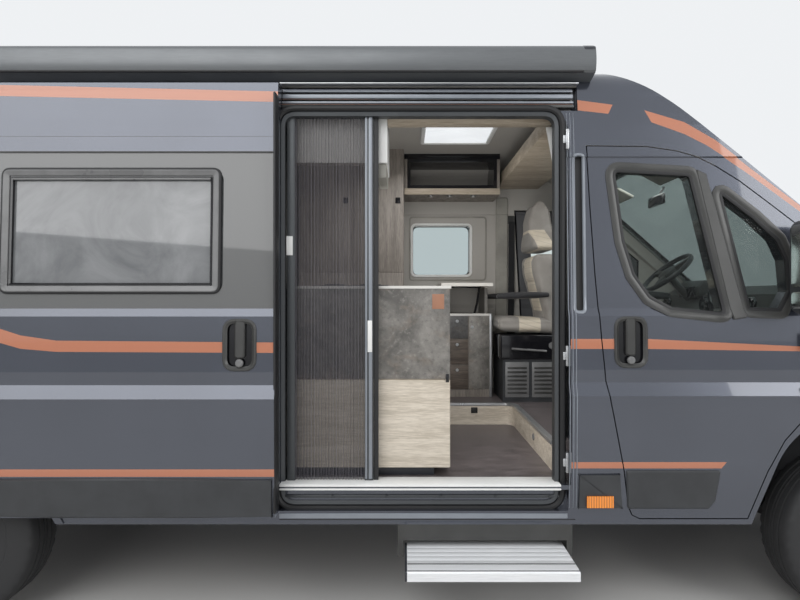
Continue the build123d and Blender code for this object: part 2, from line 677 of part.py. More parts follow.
with BuildPart() as rear_axle:
    with BuildSketch(Plane.XZ):
        with Locations((REAR_AXLE, TYRE_R)):
            Circle(40)
    extrude(amount=760, both=True)
    with BuildSketch(Plane.XZ):
        with Locations((REAR_AXLE, TYRE_R)):
            Circle(PIN_R)
    extrude(amount=REAR_TRACK_HALF + 20, both=True)
    for side in (-1, 1):
        with BuildSketch(Plane.XZ.offset(-side * 460)):
            with BuildLine():
                ThreePointArc((REAR_AXLE - 620, 420), (REAR_AXLE, 322), (REAR_AXLE + 620, 420))
                Line((REAR_AXLE + 620, 420), (REAR_AXLE + 620, RAIL_Z0 - FIT))
                Line((REAR_AXLE + 620, RAIL_Z0 - FIT), (REAR_AXLE + 560, RAIL_Z0 - FIT))
                ThreePointArc((REAR_AXLE + 560, RAIL_Z0 - FIT), (REAR_AXLE, 350), (REAR_AXLE - 560, RAIL_Z0 - FIT))
                Line((REAR_AXLE - 560, RAIL_Z0 - FIT), (REAR_AXLE - 620, RAIL_Z0 - FIT))
                Line((REAR_AXLE - 620, RAIL_Z0 - FIT), (REAR_AXLE - 620, 420))
            make_face()
        extrude(amount=-side * 60)
keep(rear_axle.part, "rear_axle")

with BuildPart() as tanks:
    for x, y, long, wide in ((-800, 200, 900, 420), (1050, 150, 600, 500)):
        with Locations((x, y, 365)):
            Box(long, wide, 120)
    fillet(edges(), radius=20)
    for x, y in ((-1000, 200), (-600, 200), (900, 150), (1200, 150)):
        for side in (-1, 1):
            add(slab(x - 20, x + 20, y + side * 150 - 20, y + side * 150 + 20, 420,
                     FLOOR_TOP - FLOOR_THICK - FIT))
keep(tanks.part, "tanks")

with BuildPart() as exhaust:
    with BuildSketch(Plane.YZ.offset(-1200)):
        with Locations((-250, 370)):
            Circle(28)
    extrude(amount=3300)
    with BuildSketch(Plane.YZ.offset(-900)):
        with Locations((-250, 370)):
            Ellipse(120, 60)
    extrude(amount=700)
    for x in (-200, 700, 1500):
        with Locations((x, -250, 425)):
            Box(20, 20, 70)
keep(exhaust.part, "exhaust")

with BuildPart() as rear_bumper:
    with BuildSketch(Plane.XY.offset(290)):
        with BuildLine():
            Polyline((-2999, 0), (-2999, 800))
            ThreePointArc((-2999, 800), (-2970, 945), (-2900, 1015))
            Polyline((-2900, 1015), (-2600, 1025), (-2600, 1010), (-2880, 1000))
            ThreePointArc((-2880, 1000), (-2930, 940), (-2945, 800))
            Line((-2945, 800), (-2945, 0))
            Line((-2945, 0), (-2999, 0))
        make_face()
        mirror(about=Plane.XZ)
    extrude(amount=SILL_Z - FIT - 290)
    add(slab(-2994, TAIL_X + 80, -HALF_WIDTH + WALL + 8, HALF_WIDTH - WALL - 8, 438, 595))
keep(rear_bumper.part, "rear_bumper")

# Lamps at the tail corners and along the sill
with BuildPart() as tail_lamps:
    with BuildPart(mode=Mode.PRIVATE) as lamp:
        add(slab(TAIL_X - 12, TAIL_X - FIT, -1000, -940, 950, 1500))
    add(lamp.part)
    mirror(about=Plane.XZ)
keep(tail_lamps.part, "tail_lamps")

with BuildPart() as marker_lamps:
    for x in (867, -2640):
        with Locations((x, -HALF_WIDTH + 6.5, 545)):
            Box(115, 16, 50)
    mirror(about=Plane.XZ)
keep(marker_lamps.part, "marker_lamps")

# Awning cassette on the right roof edge
with BuildPart() as awning:
    with BuildSketch(Plane.YZ.offset(-2900)):
        with BuildLine():
            ThreePointArc((-1000, 2428), (-1007, 2472), (-1000, 2518))
            ThreePointArc((-1000, 2518), (-988, 2537), (-966, 2543))
            Polyline((-966, 2543), (-860, 2548), (-820, 2520), (-815, 2440), (-900, 2400), (-990, 2420),
                     (-1000, 2428))
        make_face()
    extrude(amount=3756)
    add(outer, mode=Mode.SUBTRACT)
keep(awning.part, "awning")

with BuildPart() as roof_lights:
    for x in (335, -1500):
        add(slab(x - 190, x + 190, -185, 185, 2456, 2500))
        with Locations((x, 0, 2560)):
            Box(440, 440, 70)
        add(slab(x - 190, x + 190, -185, 185, 2500, 2530))
keep(roof_lights.part, "roof_lights")

# Entry step
with BuildPart() as step_housing:
    add(slab(STEP_X0 - 32, STEP_X1 + 32, -1000, -650, 370, SILL_Z - FIT))
    for x0, x1 in ((STEP_X0 - 32, STEP_X0 - 8), (STEP_X1 + 8, STEP_X1 + 32)):
        add(slab(x0, x1, -1000, -650, 300, 371))
keep(step_housing.part, "step_housing")

with BuildPart() as step_tread:
    add(slab(STEP_X0, STEP_X1, STEP_FRONT_Y, STEP_FRONT_Y + STEP_DEPTH + 60, STEP_TOP - STEP_THICK,
             STEP_TOP))
    fillet(edges().filter_by(Axis.X), radius=8)
    for x0, x1 in ((STEP_X0 - 8 + FIT, STEP_X0), (STEP_X1, STEP_X1 + 8 - FIT)):
        add(slab(x0, x1, -995, -950, 312, 328))
keep(step_tread.part, "step_tread")

# Knuckles that carry the front wheels
with BuildPart() as knuckle:
    with Locations((FRONT_AXLE, -KINGPIN_Y + 10, 435 + FIT)):
        Box(70, 50, 200)
    with BuildSketch(Plane.XZ.offset(KINGPIN_Y - 15)):
        with Locations((FRONT_AXLE, TYRE_R)):
            Circle(36)
    extrude(amount=65)
    with BuildSketch(Plane.XZ.offset(KINGPIN_Y)):
        with Locations((FRONT_AXLE, TYRE_R)):
            Circle(PIN_R)
    extrude(amount=TRACK_HALF + 20 - KINGPIN_Y)
    with Locations((FRONT_AXLE - 80, -KINGPIN_Y + 30, 400)):
        Box(160, 20, 30)
keep(knuckle.part, "knuckle_right")
keep(other_side(knuckle.part), "knuckle_left")


def tyre(x, y):
    """Road tyre turned about its axle, with a flat tread and round shoulders."""
    half = TYRE_W / 2
    with BuildPart() as ring:
        with BuildSketch(Plane.XZ):
            with BuildLine():
                Polyline((RIM_R + 14, -half + 14), (RIM_R + 60, -half), (TYRE_R - 45, -half + 4))
                ThreePointArc((TYRE_R - 45, -half + 4), (TYRE_R - 12, -half + 12), (TYRE_R - 2, -half + 32))
                Line((TYRE_R - 2, -half + 32), (TYRE_R, 0))
                Line((TYRE_R, 0), (TYRE_R - 2, half - 32))
                ThreePointArc((TYRE_R - 2, half - 32), (TYRE_R - 12, half - 12), (TYRE_R - 45, half - 4))
                Polyline((TYRE_R - 45, half - 4), (RIM_R + 60, half), (RIM_R + 14, half - 14),
                         (RIM_R + 14, -half + 14))
            make_face()
        revolve(axis=Axis.Z)
    return ring.part.rotate(Axis.X, 90).moved(Location((x, y, TYRE_R)))


def rim(x, y, outward):
    """Wheel with a deep barrel, a hub and five pairs of spokes."""
    half = TYRE_W / 2
    with BuildPart() as wheel:
        with BuildSketch(Plane.XZ):
            with BuildLine():
                Polyline((RIM_R - 14, -half + 16), (RIM_R + 14 - FIT, -half + 16), (RIM_R + 14 - FIT, half - 16),
                         (RIM_R - 14, half - 16), close=True)
            make_face()
        revolve(axis=Axis.Z)
        with BuildSketch(Plane.XY.offset(half - 70)):
            Circle(HUB_R + 20)
            for turn in (-13, 13):
                with PolarLocations((HUB_R + RIM_R) / 2, 5, start_angle=turn):
                    Rectangle(RIM_R - HUB_R + 6, 26)
        extrude(amount=30)
        with BuildSketch(Plane.XY.offset(-10)):
            Circle(HUB_R)
        extrude(amount=half - 50)
        with BuildSketch(Plane.XY.offset(-120)):
            Circle(PIN_R + FIT)
        extrude(amount=120 + 22, mode=Mode.SUBTRACT)
    turned = wheel.part.rotate(Axis.X, 90 if outward < 0 else -90)
    return turned.moved(Location((x, y, TYRE_R)))


WHEELS = [("front_right", FRONT_AXLE, -TRACK_HALF), ("front_left", FRONT_AXLE, TRACK_HALF),
          ("rear_right", REAR_AXLE, -REAR_TRACK_HALF), ("rear_left", REAR_AXLE, REAR_TRACK_HALF)]
for place, x, y in WHEELS:
    keep(tyre(x, y), f"tyre_{place}")
    keep(rim(x, y, y), f"rim_{place}")

# Furniture
with BuildPart() as lounge_platform:
    with BuildSketch(Plane.XY.offset(FLOOR_TOP)):
        with BuildLine():
            Polyline((-100, PLATFORM_Y), (PLATFORM_X - 60, PLATFORM_Y))
            RadiusArc((PLATFORM_X - 60, PLATFORM_Y), (PLATFORM_X, PLATFORM_Y - 60), 60)
            Polyline((PLATFORM_X, PLATFORM_Y - 60), (PLATFORM_X, -790), (1500, -790), (1500, 1000),
                     (-100, 1000), (-100, PLATFORM_Y))
        make_face()
    extrude(amount=CAB_FLOOR - FLOOR_TOP)
    add(room.part, mode=Mode.INTERSECT)
keep(lounge_platform.part, "lounge_platform")

with BuildPart() as kitchen_unit:
    add(slab(KITCHEN_X1 - KITCHEN_LENGTH, KITCHEN_X1, -890, -890 + KITCHEN_DEPTH, 658,
             WORKTOP_Z - WORKTOP_THICK))
    for z in (1057, 860):
        add(slab(KITCHEN_X1 - KITCHEN_LENGTH - 1, KITCHEN_X1 + 1, -376 if z < 1000 else -900,
                 -364 if z < 1000 else -885, z, z + 4), mode=Mode.SUBTRACT)
    for x in (-180, -580):
        add(slab(x, x + 4, -376, -364, 700, 1500), mode=Mode.SUBTRACT)
    add(slab(KITCHEN_X1 - KITCHEN_LENGTH, KITCHEN_X1 - 71, -860, -920 + KITCHEN_DEPTH, FLOOR_TOP, 658))
    add(room.part, mode=Mode.INTERSECT)
keep(kitchen_unit.part, "kitchen_unit")

with BuildPart() as worktop:
    add(slab(KITCHEN_X1 - KITCHEN_LENGTH, KITCHEN_X1 + 8, -897, -882 + KITCHEN_DEPTH, WORKTOP_Z - WORKTOP_THICK,
             WORKTOP_Z))
    add(room.part, mode=Mode.INTERSECT)
keep(worktop.part, "worktop")

with BuildPart() as far_cabinets:
    add(slab(300, 600, 500, 1000, CAB_FLOOR, 1320))
    for z in (800, 969, 1146):
        add(slab(299, 454, 499, 506, z, z + 4), mode=Mode.SUBTRACT)
    add(slab(454, 458, 499, 506, 800, 1310), mode=Mode.SUBTRACT)
    add(slab(-700, 10, 450, 1000, FLOOR_TOP, 2470) - slab(-110, 20, 230, 1000, 500, CAB_FLOOR + 1))
    add(slab(-2880, -1010, -1000, 1000, BED_TOP - MATTRESS - 30, BED_TOP - MATTRESS))
    for y0, y1 in ((-1000, -500), (500, 1000)):
        for x in (-2880, -1040):
            add(slab(x, x + 30, y0, y1, FLOOR_TOP, BED_TOP - MATTRESS - 30))
    add(room.part, mode=Mode.INTERSECT)
keep(far_cabinets.part, "far_cabinets")

with BuildPart() as table:
    add(slab(260, 600, 330, 1000, TABLE_Z - 22, TABLE_Z))
    for x in (290, 575):
        add(slab(x, x + 20, 560, 1000, 1320 + FIT, TABLE_Z - 22))
    add(room.part, mode=Mode.INTERSECT)
keep(table.part, "table")

with BuildPart() as overhead_lockers:
    add(slab(16, 680, 550, 1000, 2150, 2470) - slab(36, 660, 540, 880, 2190, 2412))
    add(slab(-950, -62, -1000, -560, 2105, 2470))
    for x in (-350, -640):
        add(slab(x, x + 4, -566, -559, 2125, 2400), mode=Mode.SUBTRACT)
    add(slab(-61, 690, -900, -835, 2225, 2290))
    add(slab(700, 1000, -800, 800, 2236, 2258))
    add(slab(700, 722, -800, 800, 2236, 2310))
    add(room.part, mode=Mode.INTERSECT)
keep(overhead_lockers.part, "overhead_lockers")

with BuildPart() as mattress:
    add(slab(-2870, -1020, -900, 900, BED_TOP - MATTRESS + FIT, BED_TOP))
    fillet(edges().filter_by(Axis.Z), radius=60)
keep(mattress.part, "mattress")

# Cab seats: the driver's is turned to face the rear, its backrest tipped over the cushion
DRIVER_BACK = [(0, 1195), (60, 1230), (85, 1350), (150, 1600), (165, 1760), (165, 1960), (140, 2060), (100, 2105),
               (55, 2095), (15, 2030), (-25, 1800), (-75, 1500), (-90, 1195)]
PASSENGER_BACK = [(0, 1195), (25, 1230), (20, 1350), (-20, 1600), (-50, 1760), (-95, 1960), (-120, 2060),
                  (-150, 2105), (-195, 2095), (-220, 2030), (-205, 1800), (-160, 1500), (-135, 1195)]


def seat(x, y, facing, back):
    """Cushion, winged backrest with its headrest and two armrests, facing +1 forward or -1 rearward."""
    with BuildPart() as pads:
        with BuildSketch(Plane.XZ.offset(-y - 240)):
            with BuildLine():
                Polyline((x - facing * 60, 1190), (x + facing * 400, 1210), (x + facing * 400, 1320),
                         (x - facing * 60, 1300), close=True)
            make_face()
            fillet(objects=vertices(), radius=30)
        extrude(amount=480)
        with BuildSketch(Plane.XZ.offset(-y - 230)):
            with BuildLine():
                Polyline(*[(x + facing * u, z) for u, z in back], close=True)
            make_face()
        extrude(amount=460)
        with BuildSketch(Plane.YZ.offset(x - 500)):
            with BuildLine():
                Polyline((y - 240, 1180), (y + 240, 1180), (y + 240, 1760), (y + 190, 1850), (y + 130, 1900),
                         (y + 130, 2120), (y - 130, 2120), (y - 130, 1900), (y - 190, 1850), (y - 240, 1760),
                         close=True)
            make_face()
            fillet(objects=vertices().group_by(Axis.Y)[-1], radius=50)
        extrude(amount=1000, mode=Mode.INTERSECT)
        for side in (-1, 1):
            y0, y1 = sorted((y + side * 225, y + side * 290))
            x0, x1 = sorted((x + facing * (back[3][0] - 100), x + facing * (back[3][0] + 250)))
            add(slab(x0, x1, y0, y1, 1420, 1470))
    return pads.part


keep(seat(1010, 500, -1, DRIVER_BACK), "seat_driver")
keep(seat(1060, -480, 1, PASSENGER_BACK), "seat_passenger")

with BuildPart() as seat_bases:
    for x, y in ((840, 500), (1240, -480)):
        with Locations((x, y, CAB_FLOOR + 200)):
            Box(360, 400, 400)
        add(slab(x - 190, x + 190, y - 210, y + 210, CAB_FLOOR + 400, 1188))
keep(seat_bases.part, "seat_bases")

# Dash and steering wheel
with BuildPart() as dashboard:
    with BuildSketch(Plane.XZ.offset(880)):
        with BuildLine():
            Polyline((1940, 1200), (1920, 1300), (1970, 1450), (2060, 1500), (2240, 1480), (2250, 1290),
                     (2020 - FIT, 1285), (2020 - FIT, 1050), (1960, 1060), close=True)
        make_face()
    extrude(amount=-1760)
    add(room.part, mode=Mode.INTERSECT)
keep(dashboard.part, "dashboard")

STEER_X, STEER_Y, STEER_Z, STEER_TILT = 1800, 450, 1600, 40
with BuildPart() as steering_wheel:
    with BuildSketch(Plane.XZ):
        with Locations((180, 0)):
            Circle(15)
    revolve(axis=Axis.Z)
    with BuildSketch(Plane.XY.offset(-14)):
        Circle(60)
        with PolarLocations(112, 3, start_angle=90):
            Rectangle(126, 34)
    extrude(amount=22)
    with BuildSketch(Plane.XY.offset(-14)):
        Circle(24)
    extrude(amount=-215)
turned = steering_wheel.part.rotate(Axis.Y, -STEER_TILT).moved(Location((STEER_X, STEER_Y, STEER_Z)))
keep(turned, "steering_wheel")

# Pleated fly screen, part drawn across the opening
with BuildPart() as fly_screen:
    y0, y1 = -958, -932
    add(slab(OPEN_X0 + 25, OPEN_X0 + 65, y0, y1, FLOOR_TOP + FIT, OPEN_Z1 - 20))
    add(slab(-160, -117, y0, y1, FLOOR_TOP + FIT, OPEN_Z1 - 20))
    add(slab(OPEN_X0 + 60, OPEN_X1 - 62, y0, y1, OPEN_Z1 - 20, OPEN_Z1 - FIT))
    with BuildSketch(Plane.XY.offset(FLOOR_TOP + 5)):
        with BuildLine():
            pleats = 26
            x0 = OPEN_X0 + 64
            pitch = (-160 + 1 - x0) / pleats
            near = [(x0 + i * pitch, y0 + (4 if i % 2 else 20)) for i in range(pleats + 1)]
            Polyline(*near, *[(x, y + 2) for x, y in reversed(near)], close=True)
        make_face()
    extrude(amount=OPEN_Z1 - FLOOR_TOP - 24)
keep(fly_screen.part, "fly_screen")
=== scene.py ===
import logging
import math
from dataclasses import dataclass, field
from enum import Enum
from typing import Callable

import bmesh
import bpy
from mathutils import Matrix, Vector
from mathutils.bvhtree import BVHTree


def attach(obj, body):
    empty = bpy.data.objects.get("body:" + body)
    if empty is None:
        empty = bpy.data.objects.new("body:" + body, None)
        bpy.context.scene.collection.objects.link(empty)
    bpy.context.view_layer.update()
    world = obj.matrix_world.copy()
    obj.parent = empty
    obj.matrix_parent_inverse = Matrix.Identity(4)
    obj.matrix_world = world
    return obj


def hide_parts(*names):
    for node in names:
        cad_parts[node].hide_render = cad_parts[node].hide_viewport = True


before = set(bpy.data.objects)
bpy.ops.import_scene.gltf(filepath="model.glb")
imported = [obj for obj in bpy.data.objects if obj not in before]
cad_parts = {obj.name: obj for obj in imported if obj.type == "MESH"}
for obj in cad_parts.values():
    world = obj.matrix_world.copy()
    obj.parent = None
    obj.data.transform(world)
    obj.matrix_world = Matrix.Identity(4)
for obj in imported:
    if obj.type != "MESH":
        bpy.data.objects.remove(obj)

LOG = logging.getLogger("camper")
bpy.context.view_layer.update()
POINTS2 = list[tuple[float, float]]
Point = tuple[float, float, float]
Colour = Point

# Half widths of the body by height, and of its plan ahead of the doors
SECTION: POINTS2 = [(0.2, 0.99), (0.48, 1.003), (0.7, 1.02), (1.005, 1.025), (1.062, 1.009), (1.117, 1.013),
                    (1.352, 1.007), (1.385, 0.994), (2.05, 0.968), (2.056, 0.974), (2.2, 0.962), (2.33, 0.94),
                    (2.425, 0.905)]
PLAN: POINTS2 = [(1.5, 1.03), (1.8, 1.0255), (2.15, 1.003), (2.4, 0.971), (2.7, 0.905), (2.8, 0.84)]
# How far the slid door stands out, the plane of its jamb, and where rays at the body start
SLIDE_OUT = 0.085
JAMB_Y = -0.965
RAY_START = 5.0
CLOTH_FRAMES = 20
BODY_BLUE = (0.063, 0.07, 0.09)


def along(x: float, table: POINTS2) -> float:
    """Read a table of points with straight runs between them.

    Args:
        x: Where to read.
        table: Pairs of position and value, rising.
    Returns:
        The value there, held at both ends.
    """
    if x <= table[0][0]:
        return table[0][1]
    for (a, u), (b, v) in zip(table, table[1:]):
        if x <= b:
            return u + (v - u) * (x - a) / (b - a)
    return table[-1][1]


class Flank(Enum):
    """Which side of the van a piece lies on, as the sign of Y."""

    RIGHT = -1
    LEFT = 1


class Surface:
    """Surface that a plate or frame is laid on, with two coordinates of its own."""

    @property
    def look(self) -> Vector:
        """Way that the surface faces."""
        return Vector((0, 0, 1))

    def spot(self, a: float, b: float, lift: float) -> Vector:
        """Place of two coordinates, raised by lift."""
        return Vector((a, b, lift))

    def cuts(self, left: float, right: float, low: float, high: float) -> list[tuple[int, float]]:
        """Where a plate is cut so that it can follow the surface, as axis and place."""
        return []


class Sided(Surface):
    """Surface on a side of the van, drawn in X and Z."""

    def y(self, x: float, z: float, lift: float = 0.0) -> float:
        """Y of the surface."""
        raise NotImplementedError

    def spot(self, a: float, b: float, lift: float) -> Vector:
        """Place of X and Z, raised by lift."""
        return Vector((a, self.y(a, b, lift), b))

    def cuts(self, left: float, right: float, low: float, high: float) -> list[tuple[int, float]]:
        """Cuts at the section's bends and, on a long plate, at its quarters."""
        long = [(0, left + (right - left) * k / 4) for k in range(1, 4)] if right - left > 0.3 else []
        return [(2, z) for z, _ in SECTION if low < z < high] + long


@dataclass(frozen=True)
class Skin(Sided):
    """Outer surface of one side of the body."""

    flank: Flank = Flank.RIGHT
    shift: float = 0.0

    @property
    def look(self) -> Vector:
        """Outwards."""
        return Vector((0, self.flank.value, 0))

    def y(self, x: float, z: float, lift: float = 0.0) -> float:
        """Y of the surface at a place on the side, raised by lift."""
        return self.flank.value * (min(along(z, SECTION), along(x, PLAN)) + self.shift + lift)


@dataclass(frozen=True)
class Lining(Sided):
    """Inner face of one side wall, which looks into the van."""

    flank: Flank = Flank.LEFT
    wall: float = 0.095

    @property
    def look(self) -> Vector:
        """Into the van."""
        return Vector((0, -self.flank.value, 0))

    def y(self, x: float, z: float, lift: float = 0.0) -> float:
        """Y of the lining at a place, raised into the van by lift."""
        return self.flank.value * (min(along(z, SECTION), along(x, PLAN)) - self.wall - lift)


class Across(Surface):
    """Surface that looks along one axis."""

    axis: int
    sign: float

    @property
    def look(self) -> Vector:
        """Along the axis, by its sign."""
        return Vector([self.sign if i == self.axis else 0.0 for i in range(3)])


@dataclass(frozen=True)
class Flat(Across):
    """Plane across one axis."""

    axis: int
    level: float
    sign: float = -1.0

    def spot(self, a: float, b: float, lift: float) -> Vector:
        """Place of the two other coordinates, raised by lift."""
        rest = [a, b]
        rest.insert(self.axis, self.level + self.sign * lift)
        return Vector(rest)


class Cast(Across):
    """Surface found on the CAD nodes by rays along one axis."""

    def __init__(self, nodes: tuple[str, ...], axis: int = 0, sign: float = 1.0, pitch: float = 0.05) -> None:
        """Gather the nodes' faces.

        Args:
            nodes: CAD nodes that the plate lies on.
            axis: Axis that the rays run along.
            sign: Side that they come from.
            pitch: Spacing of the cuts through a plate.
        """
        self.axis, self.sign, self.pitch = axis, sign, pitch
        verts: list[Vector] = []
        faces: list[list[int]] = []
        for node in nodes:
            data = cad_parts[node].data
            faces += [[i + len(verts) for i in polygon.vertices] for polygon in data.polygons]
            verts += [v.co.copy() for v in data.vertices]
        self.tree = BVHTree.FromPolygons(verts, faces)
        self.last = 0.0

    def spot(self, a: float, b: float, lift: float) -> Vector:
        """Place where the ray meets the nodes, raised by lift."""
        start = [a, b]
        start.insert(self.axis, RAY_START * self.sign)
        found = self.tree.ray_cast(Vector(start), -self.look)[0]
        self.last = found[self.axis] if found else self.last
        start[self.axis] = self.last + self.sign * lift
        return Vector(start)

    def cuts(self, left: float, right: float, low: float, high: float) -> list[tuple[int, float]]:
        """Even cuts both ways."""
        across = max(1, int((right - left) / self.pitch))
        up = max(1, int((high - low) / self.pitch))
        return ([(0, left + (right - left) * k / across) for k in range(1, across)]
                + [(2, low + (high - low) * k / up) for k in range(1, up)])


def shade(colour: Colour, share: float) -> Colour:
    """A colour made darker or paler."""
    return tuple(c * share for c in colour)


def mm(*flat: float) -> POINTS2:
    """Points in metres from pairs of millimetres that follow each other."""
    return [(a / 1000, b / 1000) for a, b in zip(flat[::2], flat[1::2])]


def sided(sign: float, a: float, b: float) -> list[float]:
    """Two places on one side of the van, the lower one first."""
    return sorted((sign * a, sign * b))


class Val:
    """A shader value: Python arithmetic on it adds Math nodes."""

    def __init__(self, graph: "Graph", socket: bpy.types.NodeSocket) -> None:
        """Wrap a socket of a graph."""
        self.graph = graph
        self.socket = socket

    def math(self, operation: str, *others: object) -> "Val":
        """Math node of this value and others."""
        made = self.graph.node("ShaderNodeMath", {"operation": operation}, dict(enumerate((self, *others))))
        return Val(self.graph, made.outputs[0])

    def __add__(self, other: object) -> "Val":
        """Sum."""
        return self.math("ADD", other)

    __radd__ = __add__

    def __mul__(self, other: object) -> "Val":
        """Product."""
        return self.math("MULTIPLY", other)

    __rmul__ = __mul__

    def __sub__(self, other: object) -> "Val":
        """Difference."""
        return self.math("SUBTRACT", other)

    def __rsub__(self, other: float) -> "Val":
        """Number less this value."""
        return (self * -1.0) + other

    def __abs__(self) -> "Val":
        """Size without sign."""
        return self.math("ABSOLUTE")

    def __gt__(self, other: object) -> "Val":
        """1 where this value is larger."""
        return self.math("GREATER_THAN", other)

    def __lt__(self, other: object) -> "Val":
        """1 where this value is smaller."""
        return self.math("LESS_THAN", other)

    def __or__(self, other: "Val") -> "Val":
        """Larger of two masks."""
        return self.math("MAXIMUM", other)

    def within(self, low: object, high: object) -> "Val":
        """1 between two limits."""
        return (self > low) * (self < high)

    def sweep(self, low: float = 0.3, high: float = 0.7, to_low: float = 0.0, to_high: float = 1.0) -> "Val":
        """Map a range smoothly onto another."""
        made = self.graph.node("ShaderNodeMapRange", {"interpolation_type": "SMOOTHSTEP"}, {0: self, 1: low, 2: high,
            3: to_low, 4: to_high})
        return Val(self.graph, made.outputs[0])

    def zigzag(self, count: float) -> "Val":
        """Zigzag between 0 and 0.5, with so many teeth to a metre."""
        return abs((self * count).math("FRACT") - 0.5)

    def line(self, points: POINTS2) -> "Val":
        """Value of a table of points with straight runs, read at this value."""
        total: Val | float = points[0][1]
        for (a, u), (b, v) in zip(points, points[1:]):
            share = self.graph.node("ShaderNodeMapRange", {"clamp": True}, {0: self, 1: a, 2: b, 3: 0.0, 4: v - u})
            total = Val(self.graph, share.outputs[0]) + total
        return total


class Graph:
    """Node graph of one material, ending in a Principled shader."""

    def __init__(self, name: str) -> None:
        """Start a material of that name."""
        self.material = bpy.data.materials.new(name)
        self.material.use_nodes = True
        self.tree = self.material.node_tree
        self.shader = self.tree.nodes["Principled BSDF"]
        self.output = self.tree.nodes["Material Output"]
        self._place: tuple[Val, Val, Val] | None = None

    def node(self, kind: str, settings: dict | None = None, inputs: dict | None = None) -> bpy.types.Node:
        """Add one node.

        Args:
            kind: Node type.
            settings: Properties to set first; "stops" fills a colour ramp.
            inputs: Values or links by socket index or name.
        Returns:
            The node.
        """
        made = self.tree.nodes.new(kind)
        for key, value in (settings or {}).items():
            if key == "stops":
                ramp = made.color_ramp.elements
                while len(ramp) < len(value):
                    ramp.new(0.5)
                for element, (place, colour) in zip(ramp, value):
                    element.position = place
                    element.color = (*colour, 1.0)
            else:
                setattr(made, key, value)
        for key, value in (inputs or {}).items():
            self.feed(made.inputs[key], value)
        return made

    def feed(self, socket: bpy.types.NodeSocket, value: object) -> None:
        """Link or set one socket."""
        if isinstance(value, Val):
            self.tree.links.new(value.socket, socket)
        elif isinstance(value, bpy.types.NodeSocket):
            self.tree.links.new(value, socket)
        elif isinstance(value, tuple) and socket.type == "RGBA":
            socket.default_value = (*value, 1.0) if len(value) == 3 else value
        else:
            socket.default_value = value

    def set(self, **values: object) -> "Graph":
        """Feed sockets of the Principled shader, named with underscores for spaces."""
        for key, value in values.items():
            self.feed(self.shader.inputs[key.replace("_", " ")], value)
        return self

    def place(self) -> tuple[Val, Val, Val]:
        """X, Y and Z on the piece at rest."""
        if self._place is None:
            at = self.node("ShaderNodeTexCoord").outputs["Object"]
            split = self.node("ShaderNodeSeparateXYZ", inputs={0: at})
            self._place = tuple(Val(self, split.outputs[i]) for i in range(3))
        return self._place

    def facing(self) -> tuple[Val, Val, Val]:
        """X, Y and Z of the surface's normal on the piece at rest."""
        at = self.node("ShaderNodeTexCoord").outputs["Normal"]
        split = self.node("ShaderNodeSeparateXYZ", inputs={0: at})
        return tuple(Val(self, split.outputs[i]) for i in range(3))

    def vector(self, scale: Point) -> bpy.types.NodeSocket:
        """Place on the piece, stretched."""
        at = self.node("ShaderNodeTexCoord").outputs["Object"]
        return self.node("ShaderNodeVectorMath", {"operation": "MULTIPLY"}, {0: at, 1: scale}).outputs[0]

    def noise(self, scale: float, detail: float = 3.0, rough: float = 0.55,
              stretch: Point = (1.0, 1.0, 1.0), twist: float = 0.0) -> Val:
        """Noise texture over the piece."""
        made = self.node("ShaderNodeTexNoise", inputs={"Vector": self.vector(stretch), "Scale": scale,
            "Detail": detail, "Roughness": rough, "Distortion": twist})
        return Val(self, made.outputs[0])

    def mix(self, share: object, first: object, second: object) -> bpy.types.NodeSocket:
        """Mix two colours."""
        made = self.node("ShaderNodeMix", {"data_type": "RGBA"}, {0: share, 6: first, 7: second})
        return made.outputs[2]

    def ramp(self, share: Val, *stops: tuple[float, Point]) -> bpy.types.NodeSocket:
        """Colour ramp read at a value."""
        return self.node("ShaderNodeValToRGB", {"stops": stops}, {0: share}).outputs[0]

    def bump(self, height: Val, strength: float = 0.3, distance: float = 0.001) -> "Graph":
        """Feed the normal from a height."""
        made = self.node("ShaderNodeBump", inputs={"Strength": strength, "Distance": distance, "Height": height})
        return self.set(Normal=made.outputs[0])

    def veil(self, share: Val, tint: Colour) -> None:
        """Show the Principled shader by a share, and look straight through the rest."""
        clear = self.node("ShaderNodeBsdfTransparent", inputs={0: tint}).outputs[0]
        mixed = self.node("ShaderNodeMixShader", inputs={0: share, 1: clear, 2: self.shader.outputs[0]})
        self.tree.links.new(mixed.outputs[0], self.output.inputs[0])


class SkyGraph(Graph):
    """Node graph of the world."""

    def __init__(self) -> None:
        """Start an empty world and put it in the scene."""
        world = bpy.data.worlds.new("studio")
        bpy.context.scene.world = world
        world.use_nodes = True
        self.tree = world.node_tree
        self.tree.nodes.clear()


MADE: dict[object, bpy.types.Material] = {}


@dataclass(frozen=True)
class Finish:
    """A surface finish: a colour with fine variation, roughness and grain."""

    name: str
    slot: str
    colour: Colour = (0.5, 0.5, 0.5)
    rough: float = 0.5
    metallic: float = 0.0
    grain: float = 0.15
    scale: float = 60.0
    bump: float = 0.1

    def material(self) -> bpy.types.Material:
        """Material of this finish, made once."""
        if self not in MADE:
            graph = Graph(self.name)
            self.dress(graph)
            MADE[self] = graph.material
        return MADE[self]

    def dress(self, graph: Graph) -> None:
        """Add this finish's nodes: mottled colour, worn roughness and a fine grain."""
        cloud = graph.noise(self.scale * 0.1, 4.0, 0.6)
        fine = graph.noise(self.scale * 12, 2.0)
        dark = shade(self.colour, 1 - self.grain)
        pale = tuple(min(1.0, c * (1 + self.grain)) for c in self.colour)
        graph.set(Base_Color=graph.mix(cloud.sweep(), dark, pale), Metallic=self.metallic,
                  Roughness=cloud.sweep(0.25, 0.75, self.rough * 0.88, min(1.0, self.rough * 1.12)))
        graph.bump(fine, self.bump, 0.0006)


